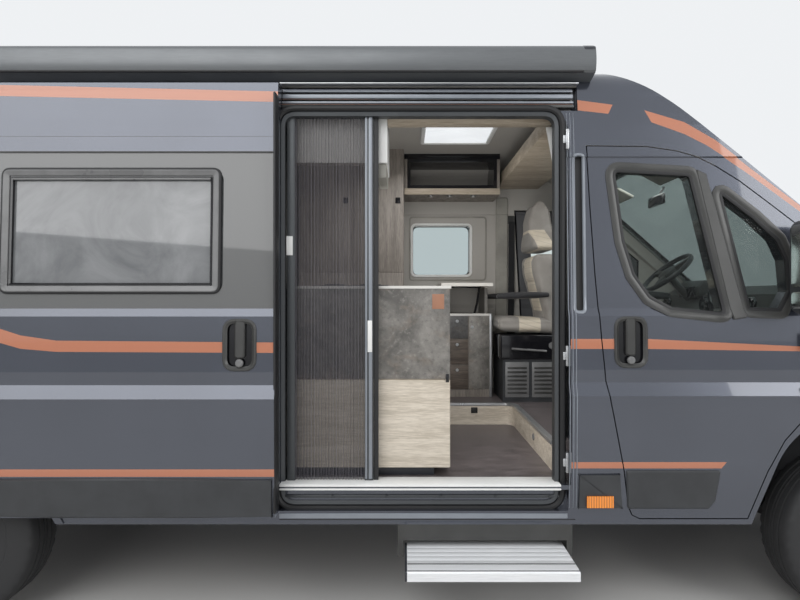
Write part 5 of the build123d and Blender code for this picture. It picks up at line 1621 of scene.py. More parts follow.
@dataclass
class Seat:
    """Cab seat: cushion, backrest in two pads, armrests and the dress of its base."""

    tag: str
    centre: tuple[float, float]
    facing: float
    low: POINTS2
    high: POINTS2
    arm: tuple[float, float]
    finish: Finish
    base: tuple[float, float]

    def outline(self, points: POINTS2, radius: float = 0.02) -> POINTS2:
        """Side outline, drawn from the seat's centre towards its front."""
        return rounded([(self.centre[0] + self.facing * u, z) for u, z in points], radius)

    def build(self) -> None:
        """Build the pads and the base's dress."""
        y = self.centre[1]
        front = Vector((self.facing, 0, 0))

        def taper(co: Vector) -> Vector:
            """Narrow the upper pad towards the headrest."""
            width = along(co.z, mm(1760, 1000, 1800, 920, 1880, 580, 1920, 540, 2050, 540, 2100, 480))
            return Vector((co.x, y + (co.y - y) * width, co.z))

        def seams(co: Vector, at: float, rows: tuple[float, ...], deep: float) -> float:
            """Depth of the two long seams and of the rows between them."""
            off = abs(co.y - y)
            side = math.exp(-((off - 0.13) / 0.01) ** 2)
            cross = sum(math.exp(-((at - row) / 0.009) ** 2) for row in rows) * (off < 0.13)
            return deep * side + 0.006 * cross

        def back_seams(co: Vector, way: Vector) -> float:
            """Depth of the backrest's seams."""
            return 0.0 if way.dot(front) < 0.2 else seams(co, co.z, (1.32, 1.43, 1.54, 1.65), 0.01)

        def cushion_seams(co: Vector, way: Vector) -> float:
            """Depth of the cushion's seams."""
            if way.z < 0.2:
                return 0.006 * math.exp(-((co.z - 1.262) / 0.008) ** 2)
            return seams(co, (co.x - self.centre[0]) * self.facing, (0.1, 0.2, 0.3), 0.009)

        def block(points: POINTS2, radius: float, half: float) -> Form:
            """Side outline made as wide as the seat."""
            return Form().prism(self.outline(points, radius), "y", y - half, y + half, 0.03, 4)

        low = Pad(f"seat_back_{self.tag}", block(self.low, 0.03, 0.224), self.finish, cap=0.011,
                  groove=back_seams).start()
        Pad(f"seat_head_{self.tag}", block(self.high, 0.03, 0.226), self.finish, cap=0.009, mould=taper).start()
        seat = mm(-45, 1204, 386, 1222, 392, 1300, -45, 1284)
        Pad(f"seat_cushion_{self.tag}", block(seat, 0.035, 0.228), self.finish, cap=0.011,
            groove=cushion_seams).start()
        a, b = self.arm
        arm = self.outline([(b, 1.425), (b - 0.002, 1.455), (b - 0.14, 1.466), (a, 1.466), (a, 1.436),
                            (b - 0.14, 1.426)], 0.012)
        for side in (-1, 1):
            y0, y1 = sorted((y + side * 0.236, y + side * 0.286))
            Pad(f"seat_arm_{'near' if side < 0 else 'far'}_{self.tag}", Form().prism(arm, "y", y0, y1, 0.01, 3),
                PAL.dark_hide, voxel=0.008, cap=0.004, fill=1.0).start()
        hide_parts(f"seat_{self.tag}")
        self.mount()

    def mount(self) -> None:
        """Build the swivel, its lever and the louvred covers on the base."""
        x, y = self.base
        Form().box((x - 0.196, y - 0.216, 1.03), (x + 0.196, y + 0.216, 1.1895), 0.01, 3).finish(
            f"seat_swivel_{self.tag}", PAL.gloss)
        lever = Form().pipe([(x - 0.12, y - 0.214, 1.1), (x - 0.12, y - 0.228, 1.1), (x + 0.1, y - 0.23, 1.085)],
                            0.007)
        lever.lathe(mm(0, -6, 22, -6, 24, -2, 24, 2), (x + 0.14, y - 0.2165, 1.12), "y")
        lever.finish(f"seat_lever_{self.tag}", PAL.frame_grey)
        covers, slats = Form(), Form()
        for a, b in ((x - 0.165, x - 0.01), (x + 0.01, x + 0.165)):
            covers.box((a, y - 0.2055, 0.78), (b, y - 0.1996, 1.012), 0.003)
            for k in range(7):
                z = 0.805 + k * 0.027
                slats.box((a + 0.014, y - 0.2095, z), (b - 0.014, y - 0.205, z + 0.013), 0.002)
        covers.finish(f"seat_base_covers_{self.tag}", PAL.frame_grey)
        slats.finish(f"seat_base_slats_{self.tag}", PAL.trim)


@dataclass
class Bed:
    """Mattress on the bed base."""

    def build(self) -> None:
        """Blow up the mattress and sew its tufts."""
        def tufts(co: Vector, way: Vector) -> float:
            """Depth of the sewn lines."""
            if way.z < 0.5:
                return 0.006 * math.exp(-((co.z - 1.09) / 0.02) ** 2)
            return 0.01 * max(math.exp(-((abs(co.x + 1.945) - at) / 0.03) ** 2) for at in (0.0, 0.31, 0.62))

        form = Form().prism(rect(-2.855, -1.035, -0.885, 0.885, 0.07), "z", 1.034, 1.146, 0.03, 4)
        made = Pad("bed_mattress", form, PAL.ticking, voxel=0.032, cap=0.012, fill=0.8, groove=tufts).start()
        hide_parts("mattress")


@dataclass
class Cab:
    """Dress of the cab: steering wheel, binnacle, screen, vents, visors and door trims."""

    wheel_at: Point = (1.8, 0.45, 1.6)
    tilt: float = 40.0

    def build(self) -> None:
        """Build every piece of the cab's dress."""
        place = Matrix.Translation(self.wheel_at) @ Matrix.Rotation(math.radians(-self.tilt), 4, "Y")
        ring = [(0.18 + 0.0162 * math.cos(t), 0.0162 * math.sin(t)) for t in (2 * math.pi * k / 12 for k in range(13))]
        Form().lathe(ring, (0, 0, 0), "z", 64).turned(place).finish("steering_cover", PAL.dark_hide, "steering_wheel")
        hub = Form().lathe(mm(0, 20, 40, 18, 62, 10, 66, 0, 66, -16), (0, 0, 0), "z", 36)
        for turn in (90, 210, 330):
            spoke = Form().box((0.055, -0.02, -0.018), (0.168, 0.02, 0.011), 0.006, 3)
            hub.absorb(spoke.turned(Matrix.Rotation(math.radians(turn), 4, "Z")).bm)
        hub.turned(place).finish("steering_hub", PAL.trim, "steering_wheel")
        Form().prism(rounded(mm(1935, 1425, 1925, 1500, 1985, 1548, 2110, 1540, 2120, 1470), 0.02), "y", 0.29, 0.61,
                     0.02, 4).finish("binnacle", PAL.trim)
        Form().box((1.926, 0.325, 1.435), (1.934, 0.575, 1.505), 0.003).finish("binnacle_glass", PAL.screen)
        Form().box((1.912, -0.15, 1.345), (1.944, 0.13, 1.475), 0.008, 3).finish("dash_screen", PAL.screen)
        vents = Form()
        for y in (-0.78, -0.28, 0.24, 0.78):
            vents.lathe(mm(20, -4, 44, -10, 50, -4, 52, 12), (1.944, y, 1.385), "x", 28)
            vents.lathe(mm(0, 0, 20, 0, 22, 4), (1.938, y, 1.385), "x", 20)
            for k in range(-2, 3):
                vents.box((1.938, y - 0.04, 1.385 + k * 0.014 - 0.002), (1.95, y + 0.04, 1.385 + k * 0.014 + 0.002),
                          0.001)
        vents.finish("dash_vents", PAL.gloss)
        glove = Form().box((1.912, -0.74, 1.215), (1.926, -0.24, 1.3), 0.006, 3)
        glove.box((1.907, -0.54, 1.285), (1.914, -0.44, 1.297), 0.003)
        glove.finish("glove_box", PAL.trim)
        gear = Form().box((1.905, 0.02, 1.225), (1.935, 0.16, 1.335), 0.01, 3)
        gear.pipe([(1.91, 0.09, 1.3), (1.885, 0.09, 1.345)], 0.009)
        gear.lathe(mm(0, 26, 16, 22, 22, 8, 18, -8, 10, -16), (1.88, 0.09, 1.352), "z", 20)
        gear.finish("gear_lever", PAL.gloss)
        for flank in Flank:
            tag, sign = flank.name.lower(), flank.value
            y0, y1 = sided(sign, 0.2, 0.7)
            visor = Form().box((0, y0, -0.008), (0.17, y1, 0.008), 0.006, 3)
            visor.turned(Matrix.Translation((1.33, 0, 2.155)) @ Matrix.Rotation(math.radians(28), 4, "Y"))
            visor.finish(f"sun_visor_{tag}", PAL.pillar)
            self.door_trim(flank)
        mirror = Form().box((1.53, -0.11, 1.985), (1.548, 0.11, 2.05), 0.008, 3)
        mirror.pipe([(1.545, 0.0, 2.03), (1.575, 0.0, 2.085), (1.585, 0.0, 2.1)], 0.007)
        mirror.finish("cab_mirror", PAL.gloss)
        Form().prism(rounded(mm(1700, 752, 1700, 900, 1915, 1190, 1955, 1190, 1955, 752), 0.02), "y", -0.1, 0.16,
                     0.012, 3).finish("cab_console", PAL.trim)

    @staticmethod
    def door_trim(flank: Flank) -> None:
        """Build a cab door's armrest, pocket and inner handle."""
        skin, tag = Lining(flank), flank.name.lower()
        body = f"door_front_{tag}"
        Form().panel(dense(rounded(mm(1030, 800, 1520, 800, 1600, 920, 1640, 1300, 990, 1300), 0.03), 0.1), skin, 0.01,
                     0.012, 0.004).finish(f"door_trim_{tag}", PAL.trim, body)
        Form().panel(rounded(mm(1060, 1130, 1500, 1130, 1560, 1185, 1060, 1180), 0.012), skin, 0.06, 0.055,
                     0.008).finish(f"door_armrest_{tag}", PAL.dark_hide, body)
        Form().panel(rounded(mm(1060, 840, 1490, 840, 1530, 970, 1060, 970), 0.02), skin, 0.05, 0.045, 0.006).finish(
            f"door_pocket_{tag}", PAL.trim, body)
        Form().hoop(rect(1.5, 1.59, 1.215, 1.255, 0.014), skin, mm(0, 8, 0, 16, 5, 18, 10, 14, 10, 8)).finish(
            f"door_release_{tag}", PAL.bare, body)


@dataclass
class Wheel:
    """One road wheel: treaded tyre, rim lips, hub cap, bolts, valve and brake disc."""

    place: str
    x: float
    y: float
    radius: float = 0.372
    half: float = 0.1125
    steps: int = 120

    def build(self) -> None:
        """Build every piece of the wheel."""
        body = f"wheel_{self.place}"
        side = math.copysign(1.0, self.y)
        centre = (self.x, self.y, self.radius)
        self.tyre(centre, body)
        Form().lathe([(0.2165, side * 0.094), (0.2235, side * 0.099), (0.2235, side * 0.103), (0.215, side * 0.104),
                      (0.202, side * 0.096), (0.188, side * 0.06), (0.1875, side * -0.02)], centre, "y", 60).finish(
            f"rim_lip_{self.place}", PAL.wheel, body)
        Form().lathe([(0.0, side * 0.067), (0.026, side * 0.066), (0.032, side * 0.062), (0.034, side * 0.052)],
                     centre, "y", 36).finish(f"hub_cap_{self.place}", PAL.gloss, body)
        bolts = Form()
        for k in range(5):
            turn = math.radians(72 * k + 36)
            at = (self.x + 0.051 * math.cos(turn), self.y, self.radius + 0.051 * math.sin(turn))
            bolts.lathe([(0.0, side * 0.058), (0.007, side * 0.058), (0.0095, side * 0.055), (0.0095, side * 0.049)],
                        at, "y", 6)
        bolts.finish(f"wheel_bolts_{self.place}", PAL.bare, body)
        Form().pipe([(self.x + 0.196, self.y + side * 0.06, self.radius),
                     (self.x + 0.19, self.y + side * 0.092, self.radius)], 0.004, 8).finish(
            f"valve_{self.place}", PAL.rubber, body)
        Form().lathe([(0.07, side * -0.03), (0.152, side * -0.03), (0.152, side * -0.004), (0.07, side * -0.004),
                      (0.07, side * -0.03)], centre, "y", 48).finish(f"brake_disc_{self.place}", PAL.steel_disc, body)

    def tyre(self, centre: Point, body: str) -> None:
        """Build the tyre with its grooves and shoulder blocks."""
        r, h = self.radius, self.half
        half = mm(0, 0, 4, 0, 6, -8, 14, -8, 16, 0, 40, -0.5, 42, -8.5, 51, -8.5, 53, -1, 78, -2)
        shoulder = [(h - 0.018, -0.006, 1), (h - 0.01, -0.014, 1), (h - 0.004, -0.034, 1)]
        wall = [(h - 0.0035, -0.045), (h, -0.075), (h - 0.001, -0.105), (h - 0.005, -0.11), (h - 0.004, -0.12),
                (h - 0.014, -0.154)]
        rows = [(a, d, 0) for a, d in half] + shoulder + [(a, d, 0) for a, d in wall]
        rows = [(-a, d, c) for a, d, c in rows[::-1]] + rows[1:]
        bm = bmesh.new()
        rings = []
        for at, drop, blocked in rows:
            ring = []
            for k in range(self.steps):
                turn = 2 * math.pi * k / self.steps
                cut = 0.007 if blocked and k % 3 == 0 else 0.0
                rr = r + drop - cut
                ring.append(bm.verts.new((centre[0] + rr * math.cos(turn), centre[1] + at,
                                          centre[2] + rr * math.sin(turn))))
            rings.append(ring)
        Form.bridge(bm, rings, True)
        bmesh.ops.recalc_face_normals(bm, faces=bm.faces)
        made = Form().absorb(bm).finish(f"treaded_tyre_{self.place}", PAL.tyre, body)
        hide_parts(f"tyre_{self.place}")


@dataclass
class Nose:
    """Dress of the nose: grille frame, lamps, plate, fog lamps, screen border, wipers and mirrors."""

    def build(self) -> None:
        """Build every piece of the nose's dress."""
        face = Cast(("front_panel", "front_bumper", "grille", "bonnet", "head_lamps"))
        frame_line = dense(rect(-0.505, 0.505, 0.675, 0.925, 0.05))
        Form().hoop(frame_line, face, mm(-16, -2, -16, 6, -10, 10, 0, 10, 4, 4, 5, -20)).finish(
            "grille_surround", PAL.trim)
        bars = Form()
        for z in (0.735, 0.805, 0.875):
            bars.panel(dense(rect(-0.46, 0.46, z - 0.004, z + 0.004), 0.05), face, 0.006, 0.006, 0.0015)
        bars.finish("grille_bright_bars", PAL.bare)
        Form().hoop(dense(rect(-0.452, 0.452, 0.323, 0.477, 0.04)), face, mm(-12, -2, -12, 4, 0, 5, 3, -12)).finish(
            "intake_frame", PAL.gloss)
        mesh = Form()
        for k in range(5):
            z = 0.345 + k * 0.0275
            mesh.box((2.955, -0.448, z - 0.003), (2.966, 0.448, z + 0.003), 0.0015)
        for k in range(11):
            y = -0.4 + k * 0.08
            mesh.box((2.952, y - 0.003, 0.325), (2.962, y + 0.003, 0.475), 0.0015)
        mesh.finish("intake_mesh", PAL.rubber)
        Form().panel(dense(rect(-0.268, 0.268, 0.512, 0.632, 0.008), 0.05), face, 0.006, 0.008, 0.002).finish(
            "front_plate_holder", PAL.gloss)
        Form().panel(dense(rect(-0.26, 0.26, 0.518, 0.626, 0.006), 0.05), face, 0.009, 0.002, 0.001).finish(
            "front_plate_blank", PAL.plate)
        self.lamps(face)
        self.screen()
        self.wipers()
        self.mirrors()
        jets = Form()
        bonnet = Cast(("bonnet",), 2)
        for y in (-0.3, 0.3):
            at = bonnet.spot(2.66, y, 0.0)
            jets.box((2.645, y - 0.014, at.z - 0.006), (2.672, y + 0.014, at.z + 0.007), 0.004, 3)
        jets.finish("washer_jets", PAL.gloss, "bonnet")

    @staticmethod
    def lamps(face: Cast) -> None:
        """Build headlamp bezels, reflectors, running lights, indicators and fog lamps."""
        bezel, shine, day, turn, rings = Form(), Form(), Form(), Form(), Form()
        for sign in (-1, 1):
            a, b = sided(sign, 0.648, 0.89)
            bezel.hoop(dense(rect(a, b, 0.862, 1.092, 0.03), 0.03), face, mm(0, -1, 0, 2.2, 10, 3, 14, 1, 14.5, -1))
            for y, z, r in ((0.715, 0.975, 0.052), (0.82, 0.985, 0.044)):
                at = face.spot(sign * y, z, 0.0)
                shine.lathe([(0.0, 0.002), (r * 0.45, 0.006), (r * 0.8, 0.007), (r, 0.004), (r, -0.012)],
                            (at.x, at.y, at.z), "x", 32)
                circle = [(sign * y + r * 1.04 * math.cos(t), z + r * 1.04 * math.sin(t))
                          for t in (2 * math.pi * k / 32 for k in range(32))]
                rings.hoop(circle, face, mm(0, 0, 0, 6, 4, 8, 7, 6, 7, 0))
            low, high = sided(sign, 0.665, 0.87)
            day.panel(dense(rect(low, high, 0.885, 0.898, 0.005), 0.03), face, 0.004, 0.005, 0.002)
            turn.panel(dense(rect(low, high, 1.052, 1.072, 0.006), 0.03), face, 0.004, 0.005, 0.002)
            at = face.spot(sign * 0.68, 0.4, 0.0)
            rings.lathe(mm(60, -10, 62, 4, 52, 8, 46, 2), tuple(at), "x", 32)
            shine.lathe(mm(0, 4, 30, 2, 46, -4, 46, -12), tuple(at), "x", 32)
        bezel.finish("lamp_bezels", PAL.gloss)
        shine.finish("lamp_reflectors", PAL.reflector)
        day.finish("running_lights", PAL.day)
        turn.finish("front_indicators", PAL.amber)
        rings.finish("lamp_rings", PAL.chrome)

    @staticmethod
    def screen() -> None:
        """Build the windscreen's printed border."""
        glass = Cast(("fixed_glass", "roof", "side_right", "side_left", "scuttle"), pitch=0.1)
        outline = dense(rounded(mm(-872, 1372, 872, 1372, 790, 2250, 0, 2278, -790, 2250), 0.06), 0.08)
        Form().hoop(outline, glass, mm(0, 0.6, 12, 1, 30, 1, 48, 0.6)).finish("screen_border", PAL.gloss)

    @staticmethod
    def wipers() -> None:
        """Build both wiper arms and blades on the windscreen."""
        glass = Cast(("fixed_glass", "scuttle", "bonnet"))
        for tag, foot, tip in (("near", -0.6, -0.05), ("mid", 0.12, 0.66)):
            arm = Form()
            start = glass.spot(foot, 1.345, 0.012)
            line = [glass.spot(foot + (tip - foot) * t, 1.385 + 0.05 * t, 0.024) for t in (0.1, 0.3, 0.5, 0.7)]
            arm.pipe([tuple(start)] + [tuple(p) for p in line], 0.006, 8)
            arm.lathe(mm(0, 10, 14, 9, 18, 0, 18, -20), tuple(start), "z", 20)
            arm.finish(f"wiper_arm_{tag}", PAL.trim)
            blade = Form()
            at = [glass.spot(foot + (tip - foot) * t, 1.392 + 0.05 * t, 0.01) for t in (0.25, 0.45, 0.65, 0.85, 1.05)]
            blade.pipe([tuple(p) for p in at], 0.0065, 6)
            blade.finish(f"wiper_blade_{tag}", PAL.rubber)

    @staticmethod
    def mirrors() -> None:
        """Build the mirrors' glasses and side repeaters."""
        for flank in Flank:
            sign, tag = flank.value, flank.name.lower()
            body = f"door_front_{tag}"
            glass = Form()
            for z0, z1 in ((1.475, 1.735), (1.385, 1.455)):
                y0, y1 = sided(sign, 1.085, 1.24)
                glass.prism(rect(y0, y1, z0, z1, 0.02), "x", 1.6545, 1.6605, 0.0015)
            glass.finish(f"mirror_glass_{tag}", PAL.chrome, body)
            y0, y1 = sided(sign, 1.1, 1.235)
            Form().prism(rect(y0, y1, 1.445, 1.475, 0.01), "x", 1.8085, 1.814, 0.003).finish(
                f"side_repeater_{tag}", PAL.amber, body)


@dataclass
class Tail:
    """Dress of the tail: seals, pressings, plate, handle, lamps, hinge caps and reflectors."""

    plane: float = -2.975

    def build(self) -> None:
        """Build every piece of the tail's dress."""
        back = Flat(0, self.plane)
        for flank in Flank:
            sign, tag = flank.value, flank.name.lower()
            body = f"rear_door_{tag}"
            a, b = sided(sign, 0.13, 0.73)
            Form().hoop(dense(rect(a, b, 1.49, 2.01, 0.06)), back, mm(-16, -1, -15, 3, -6, 4, 2, 1, 3, -14)).finish(
                f"tail_window_seal_{tag}", PAL.rubber, body)
            a, b = sided(sign, 0.075, 0.8)
            press = Form()
            for z0, z1 in ((0.69, 1.39), (2.08, 2.26)):
                press.hoop(dense(rect(a, b, z0, z1, 0.05)), back, mm(0, -0.5, 6, 3, 16, 4, 22, 3, 30, -0.5))
            press.finish(f"tail_pressing_{tag}", PAL.plain, body)
            caps = Form()
            for z in (0.76, 1.7, 2.18):
                y0, y1 = sided(sign, 0.825, 0.905)
                caps.box((-2.993, y0, z - 0.03), (-2.974, y1, z + 0.03), 0.006, 3)
            caps.finish(f"tail_hinge_caps_{tag}", PAL.plain, body)
            self.lamps(sign, tag)
        left, right = "rear_door_left", "rear_door_right"
        Form().panel(rect(0.15, 0.68, 0.8, 0.925, 0.01), back, 0.005, 0.006, 0.002).finish(
            "rear_plate_holder", PAL.gloss, left)
        Form().panel(rect(0.157, 0.673, 0.806, 0.919, 0.006), back, 0.008, 0.003, 0.001).finish(
            "rear_plate_blank", PAL.plate, left)
        Form().box((-2.996, 0.2, 0.93), (-2.9745, 0.63, 0.96), 0.006, 3).finish("plate_lamp_bar", PAL.trim, left)
        grip = Form().hoop(rect(-0.19, -0.06, 1.04, 1.13, 0.03), back, mm(0, -1, 0, 6, 5, 8, 14, 6, 20, 0))
        grip.panel(rect(-0.15, -0.1, 1.052, 1.12, 0.01), back, 0.014, 0.015, 0.004)
        grip.finish("tail_handle", PAL.trim, right)
        Form().box((-2.991, -0.16, 2.408), (-2.9745, 0.16, 2.438), 0.004, 3).finish("third_stop_lamp", PAL.red)
        Form().box((-2.996, -0.03, 2.4405), (-2.97, 0.03, 2.468), 0.007, 3).finish("reversing_camera", PAL.gloss)
        step = Form().box((-2.992, -0.78, 0.5965), (-2.905, 0.78, 0.6015), 0.002)
        for k in range(13):
            y = -0.72 + k * 0.12
            step.box((-2.986, y - 0.03, 0.601), (-2.912, y + 0.03, 0.604), 0.001)
        step.finish("bumper_step_pad", PAL.rubber)
        eyes = Form()
        for y in (-0.7, -0.26, 0.26, 0.7):
            eyes.lathe(mm(0, -3.5, 9, -3, 11, 0, 11, 4), (-2.9995, y, 0.395), "x", 20)
        eyes.finish("parking_sensors", PAL.trim)

    def lamps(self, sign: float, tag: str) -> None:
        """Build one tail lamp's segments and a bumper reflector."""
        y0, y1 = sided(sign, 0.9415, 0.9985)
        x = self.plane - 0.0125
        for name, finish, z0, z1 in (("stop", PAL.red, 1.33, 1.494), ("indicator", PAL.amber, 1.19, 1.322),
                                     ("reverse", PAL.clear, 1.06, 1.182), ("tail", PAL.red, 0.956, 1.052)):
            Form().box((x - 0.0035, y0, z0), (x + 0.004, y1, z1), 0.003, 3).finish(f"tail_lamp_{name}_{tag}", finish)
        y0, y1 = sided(sign, 0.62, 0.76)
        Form().box((-3.0015, y0, 0.325), (-2.998, y1, 0.36), 0.0015).finish(f"rear_reflector_{tag}", PAL.red)


@dataclass
class RoofGear:
    """Dress of the roof: roof light frames, swages, aerial."""

    def build(self) -> None:
        """Build every piece on the roof."""
        for tag, x in (("front", 0.335), ("rear", -1.5)):
            Form().hoop(rect(x - 0.246, x + 0.246, -0.246, 0.246, 0.03), Flat(2, 2.5255, 1.0),
                        mm(0, -8, 0, 6, 6, 12, 30, 12, 34, 4)).finish(f"roof_light_flange_{tag}", PAL.trim)
            dome = Form().prism(rect(x - 0.222, x + 0.222, -0.222, 0.222, 0.04), "z", 2.5945, 2.596, 0.0008)
            dome.hoop(rect(x - 0.2225, x + 0.2225, -0.2225, 0.2225, 0.04), Flat(2, 2.56, 1.0),
                      mm(0, -10, -2, -4, -2, 4, 0, 10))
            dome.finish(f"roof_light_top_{tag}", PAL.dome)
        base = Cast(("roof",), 2)
        ribs = Form()
        for y in (-0.55, -0.33, 0.33, 0.55):
            for x0, x1 in ((-2.85, -1.8), (-1.2, 0.0)):
                ribs.panel(dense(rect(x0, x1, y - 0.035, y + 0.035, 0.03), 0.2), base, 0.004, 0.005, 0.004)
        ribs.finish("roof_swages", PAL.plain)
        at = base.spot(0.62, 0.0, 0.0)
        Form().prism(rounded([(0.55, at.z - 0.004), (0.68, at.z - 0.004), (0.62, at.z + 0.05), (0.575, at.z + 0.055)],
                             0.012), "y", -0.018, 0.018, 0.01, 4).finish("roof_aerial", PAL.gloss)


@dataclass
class LeftSide:
    """Dress of the left side and the right rear quarter: window, flaps, vents and rail cover."""

    def build(self) -> None:
        """Build every piece there."""
        left = Skin(Flank.LEFT)
        window = dense(rect(0.075, 0.511, 1.6, 1.976, 0.05))
        Form().hoop(window, left, mm(-22, -2, -22, 8, -16, 12, 0, 12, 6, 6, 7, -12)).finish(
            "side_window_frame_outer", PAL.frame_grey)
        flap = Form()
        flap.hoop(dense(rect(0.86, 1.02, 0.9, 1.06, 0.03)), left, mm(0, -1, 1, 1.2, 4, 1.2, 5, -1))
        flap.finish("fuel_flap_line", PAL.rubber, "door_front_left")
        Form().panel(rect(-2.6, -2.42, 0.93, 1.05, 0.015), left, 0.01, 0.012, 0.004).finish(
            "inlet_hatch", PAL.cladding)
        Form().lathe(mm(0, 20, 30, 19, 48, 14, 56, 4, 56, -4), (-2.2, left.y(-2.2, 1.05), 1.05), "y", 32).finish(
            "water_filler_cap", PAL.cladding)
        vents = Form()
        for z in (0.86, 1.26):
            vents.hoop(rect(-0.62, -0.2, z, z + 0.17, 0.015), left, mm(0, -1, 0, 8, 12, 9, 14, 2))
            for k in range(6):
                vents.panel(rect(-0.604, -0.216, z + 0.018 + k * 0.024, z + 0.034 + k * 0.024, 0.002), left, 0.007,
                            0.008, 0.002)
        vents.finish("fridge_vents", PAL.cladding)
        Form().panel(rect(-2.36, -0.56, 1.35, 1.378, 0.006), Skin(Flank.RIGHT), 0.005, 0.007, 0.002).finish(
            "middle_rail_cover", PAL.trim)


@dataclass
class Studio:
    """Camera, lamps, floor and sky."""

    eye: Point = (0.02, -3.625, 1.43)
    lens: float = 27.0
    sensor: float = 36.0
    reach: float = 200.0
    floor_size: float = 60.0
    shift: tuple[float, float] = (-0.00625, -0.0025)

    def build(self) -> None:
        """Set the stage."""
        camera = bpy.data.cameras.new("camera")
        camera.lens = self.lens
        camera.sensor_width = self.sensor
        camera.shift_x, camera.shift_y = self.shift
        camera.clip_end = self.reach
        holder = bpy.data.objects.new("camera", camera)
        holder.location = self.eye
        holder.rotation_euler = (math.radians(90), 0, 0)
        bpy.context.scene.collection.objects.link(holder)
        bpy.context.scene.camera = holder
        self.floor()
        self.sky()
        for name, at, aim, size, power in (("key", (-3.5, -7.5, 6.0), (0, -1, 1.2), 7.0, 390.0),
                                           ("fill", (6.5, -6.0, 4.0), (1, -1, 1.2), 4.0, 200.0),
                                           ("over", (0.0, 0.0, 8.0), (0, 0, 0), 6.0, 260.0),
                                           ("cabin", (0.05, -0.15, 2.2), (0.3, 0.1, 0.6), 0.7, 5.5),
                                           ("cab", (1.35, 0.0, 2.1), (1.3, 0.2, 0.8), 0.5, 2.5),
                                           ("door", (0.15, -0.8, 1.35), (0.3, 0.6, 1.2), 0.9, 11.0)):
            lamp = bpy.data.lights.new(name, "AREA")
            lamp.energy = power
            lamp.size = size
            spot = bpy.data.objects.new(name, lamp)
            spot.location = at
            spot.visible_glossy = name not in ("over", "cabin", "door")
            spot.rotation_euler = (Vector(aim) - Vector(at)).to_track_quat("-Z", "Y").to_euler()
            bpy.context.scene.collection.objects.link(spot)
        bpy.context.scene.view_settings.view_transform = "Standard"

    def floor(self) -> None:
        """Make the pale floor."""
        bm = bmesh.new()
        bmesh.ops.create_grid(bm, x_segments=8, y_segments=8, size=self.floor_size)
        data = bpy.data.meshes.new("floor")
        bm.to_mesh(data)
        bm.free()
        made = bpy.data.objects.new("floor", data)
        bpy.context.scene.collection.objects.link(made)
        graph = Graph("studio_floor")
        cloud = graph.noise(0.8, 3.0)
        graph.set(Base_Color=graph.mix(cloud, (0.6, 0.59, 0.57), (0.64, 0.63, 0.61)), Roughness=0.8)
        data.materials.append(graph.material)

    @staticmethod
    def sky() -> None:
        """Light the object from a soft sky; the camera, metal and glass see a plain pale one."""
        graph = SkyGraph()
        node = graph.node
        height = node("ShaderNodeSeparateXYZ", inputs={0: node("ShaderNodeTexCoord").outputs["Generated"]}).outputs[2]
        share = Val(graph, node("ShaderNodeMapRange", inputs={0: height, 1: -1.0, 2: 1.0}).outputs[0])
        light = graph.ramp(share, (0.5, (0.34, 0.35, 0.37)), (0.76, (0.42, 0.44, 0.48)), (0.92, (1.25, 1.29, 1.35)))
        ray = {name: Val(graph, out) for name, out in node("ShaderNodeLightPath").outputs.items()}
        seen = ray["Is Camera Ray"] | (ray["Is Glossy Ray"] | ray["Is Transmission Ray"])
        lit, plain = (node("ShaderNodeBackground", inputs={0: colour, 1: power}).outputs[0]
                      for colour, power in ((light, 0.75), ((0.86, 0.88, 0.9), 1.0)))
        mixed = node("ShaderNodeMixShader", inputs={0: seen, 1: lit, 2: plain}).outputs[0]
        node("ShaderNodeOutputWorld", inputs={0: mixed})


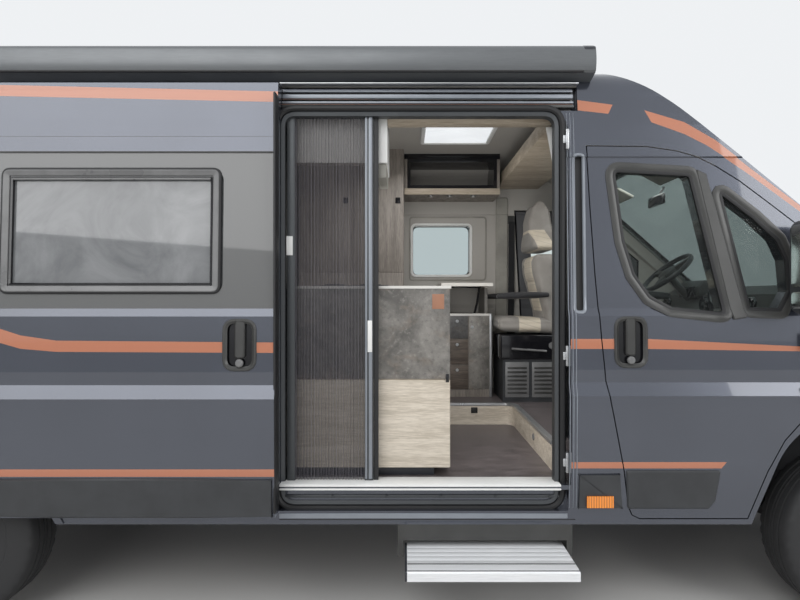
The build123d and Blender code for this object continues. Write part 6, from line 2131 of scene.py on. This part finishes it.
@dataclass
class CadFinishes:
    """Finishes of the CAD nodes, each with the nodes that wear it."""

    groups: tuple[tuple[Finish, str], ...] = (
        (PAL.body, "side_right side_left roof wings bonnet front_panel rear_door_right rear_door_left"),
        (PAL.door, "sliding_door"),
        (PAL.cab_door, "door_front_right door_front_left"),
        (PAL.door_glass, "door_glass_right door_glass_left"),
        (PAL.glass, "rear_glass_right rear_glass_left fixed_glass"),
        (PAL.lamp, "head_lamps"),
        (PAL.red, "tail_lamps"),
        (PAL.amber, "marker_lamps"),
        (PAL.cladding, "front_bumper rear_bumper grille scuttle tanks mirror_right mirror_left seat_bases"),
        (PAL.cladding, "wheel_housings"),
        (PAL.trim, "dashboard steering_wheel step_housing"),
        (PAL.vinyl, "floor_pan lounge_platform"),
        (PAL.steel, "chassis_frame front_subframe rear_axle knuckle_right knuckle_left"),
        (PAL.cast, "engine"),
        (PAL.pipe, "exhaust"),
        (PAL.awning, "awning"),
        (PAL.dome, "roof_lights"),
        (PAL.alloy, "step_tread"),
        (PAL.beige, "kitchen_unit"),
        (PAL.worktop, "worktop"),
        (PAL.taupe, "far_cabinets overhead_lockers"),
        (PAL.table_top, "table"),
        (PAL.ticking, "mattress"),
        (PAL.driver_hide, "seat_driver"),
        (PAL.passenger_hide, "seat_passenger"),
        (PAL.screen_rail, "fly_screen"),
        (PAL.tyre, "tyre_front_right tyre_front_left tyre_rear_right tyre_rear_left"),
        (PAL.wheel, "rim_front_right rim_front_left rim_rear_right rim_rear_left"))

    def build(self) -> None:
        """Dress every node that the model has."""
        table = {name: finish for finish, names in self.groups for name in names.split()}
        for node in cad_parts:
            dress_node(node, table[node])


def main() -> None:
    """Build every sub-assembly and blow up the cushions."""
    logging.basicConfig(level=logging.INFO, format="%(message)s")
    driver = Seat("driver", (1.01, 0.5), -1.0,
                  mm(50, 1218, 72, 1350, 137, 1600, 152, 1726, -24, 1726, -62, 1500, -78, 1218),
                  mm(152, 1742, 154, 1950, 130, 2048, 96, 2092, 60, 2085, 28, 2025, -12, 1800, -22, 1742),
                  (0.062, 0.402), PAL.driver_hide, (0.84, 0.5))
    passenger = Seat("passenger", (1.06, -0.48), 1.0,
                     mm(12, 1218, 8, 1350, -32, 1600, -55, 1726, -187, 1726, -150, 1500, -125, 1218),
                     mm(-60, 1742, -106, 1950, -130, 2050, -155, 2092, -190, 2083, -208, 2025, -193, 1800,
                        -188, 1742), (-0.11, 0.232), PAL.passenger_hide, (1.24, -0.48))
    wheels = [Wheel("front_right", 2.051, -0.905), Wheel("front_left", 2.051, 0.905),
              Wheel("rear_right", -1.984, -0.895), Wheel("rear_left", -1.984, 0.895)]
    for part in (Studio(), CadFinishes(), driver, passenger, Bed(), SideTrim(), SlidingDoor(), CabDoor(Flank.RIGHT),
                 CabDoor(Flank.LEFT), Awning(), FlyScreen(), Step(), Kitchen(), Lounge(), FarSide(), Lockers(), Cab(),
                 Nose(), Tail(), RoofGear(), LeftSide(), *wheels):
        LOG.info("building %s", type(part).__name__)
        part.build()
    Pad.run_all()


if __name__ == "__main__":
    main()
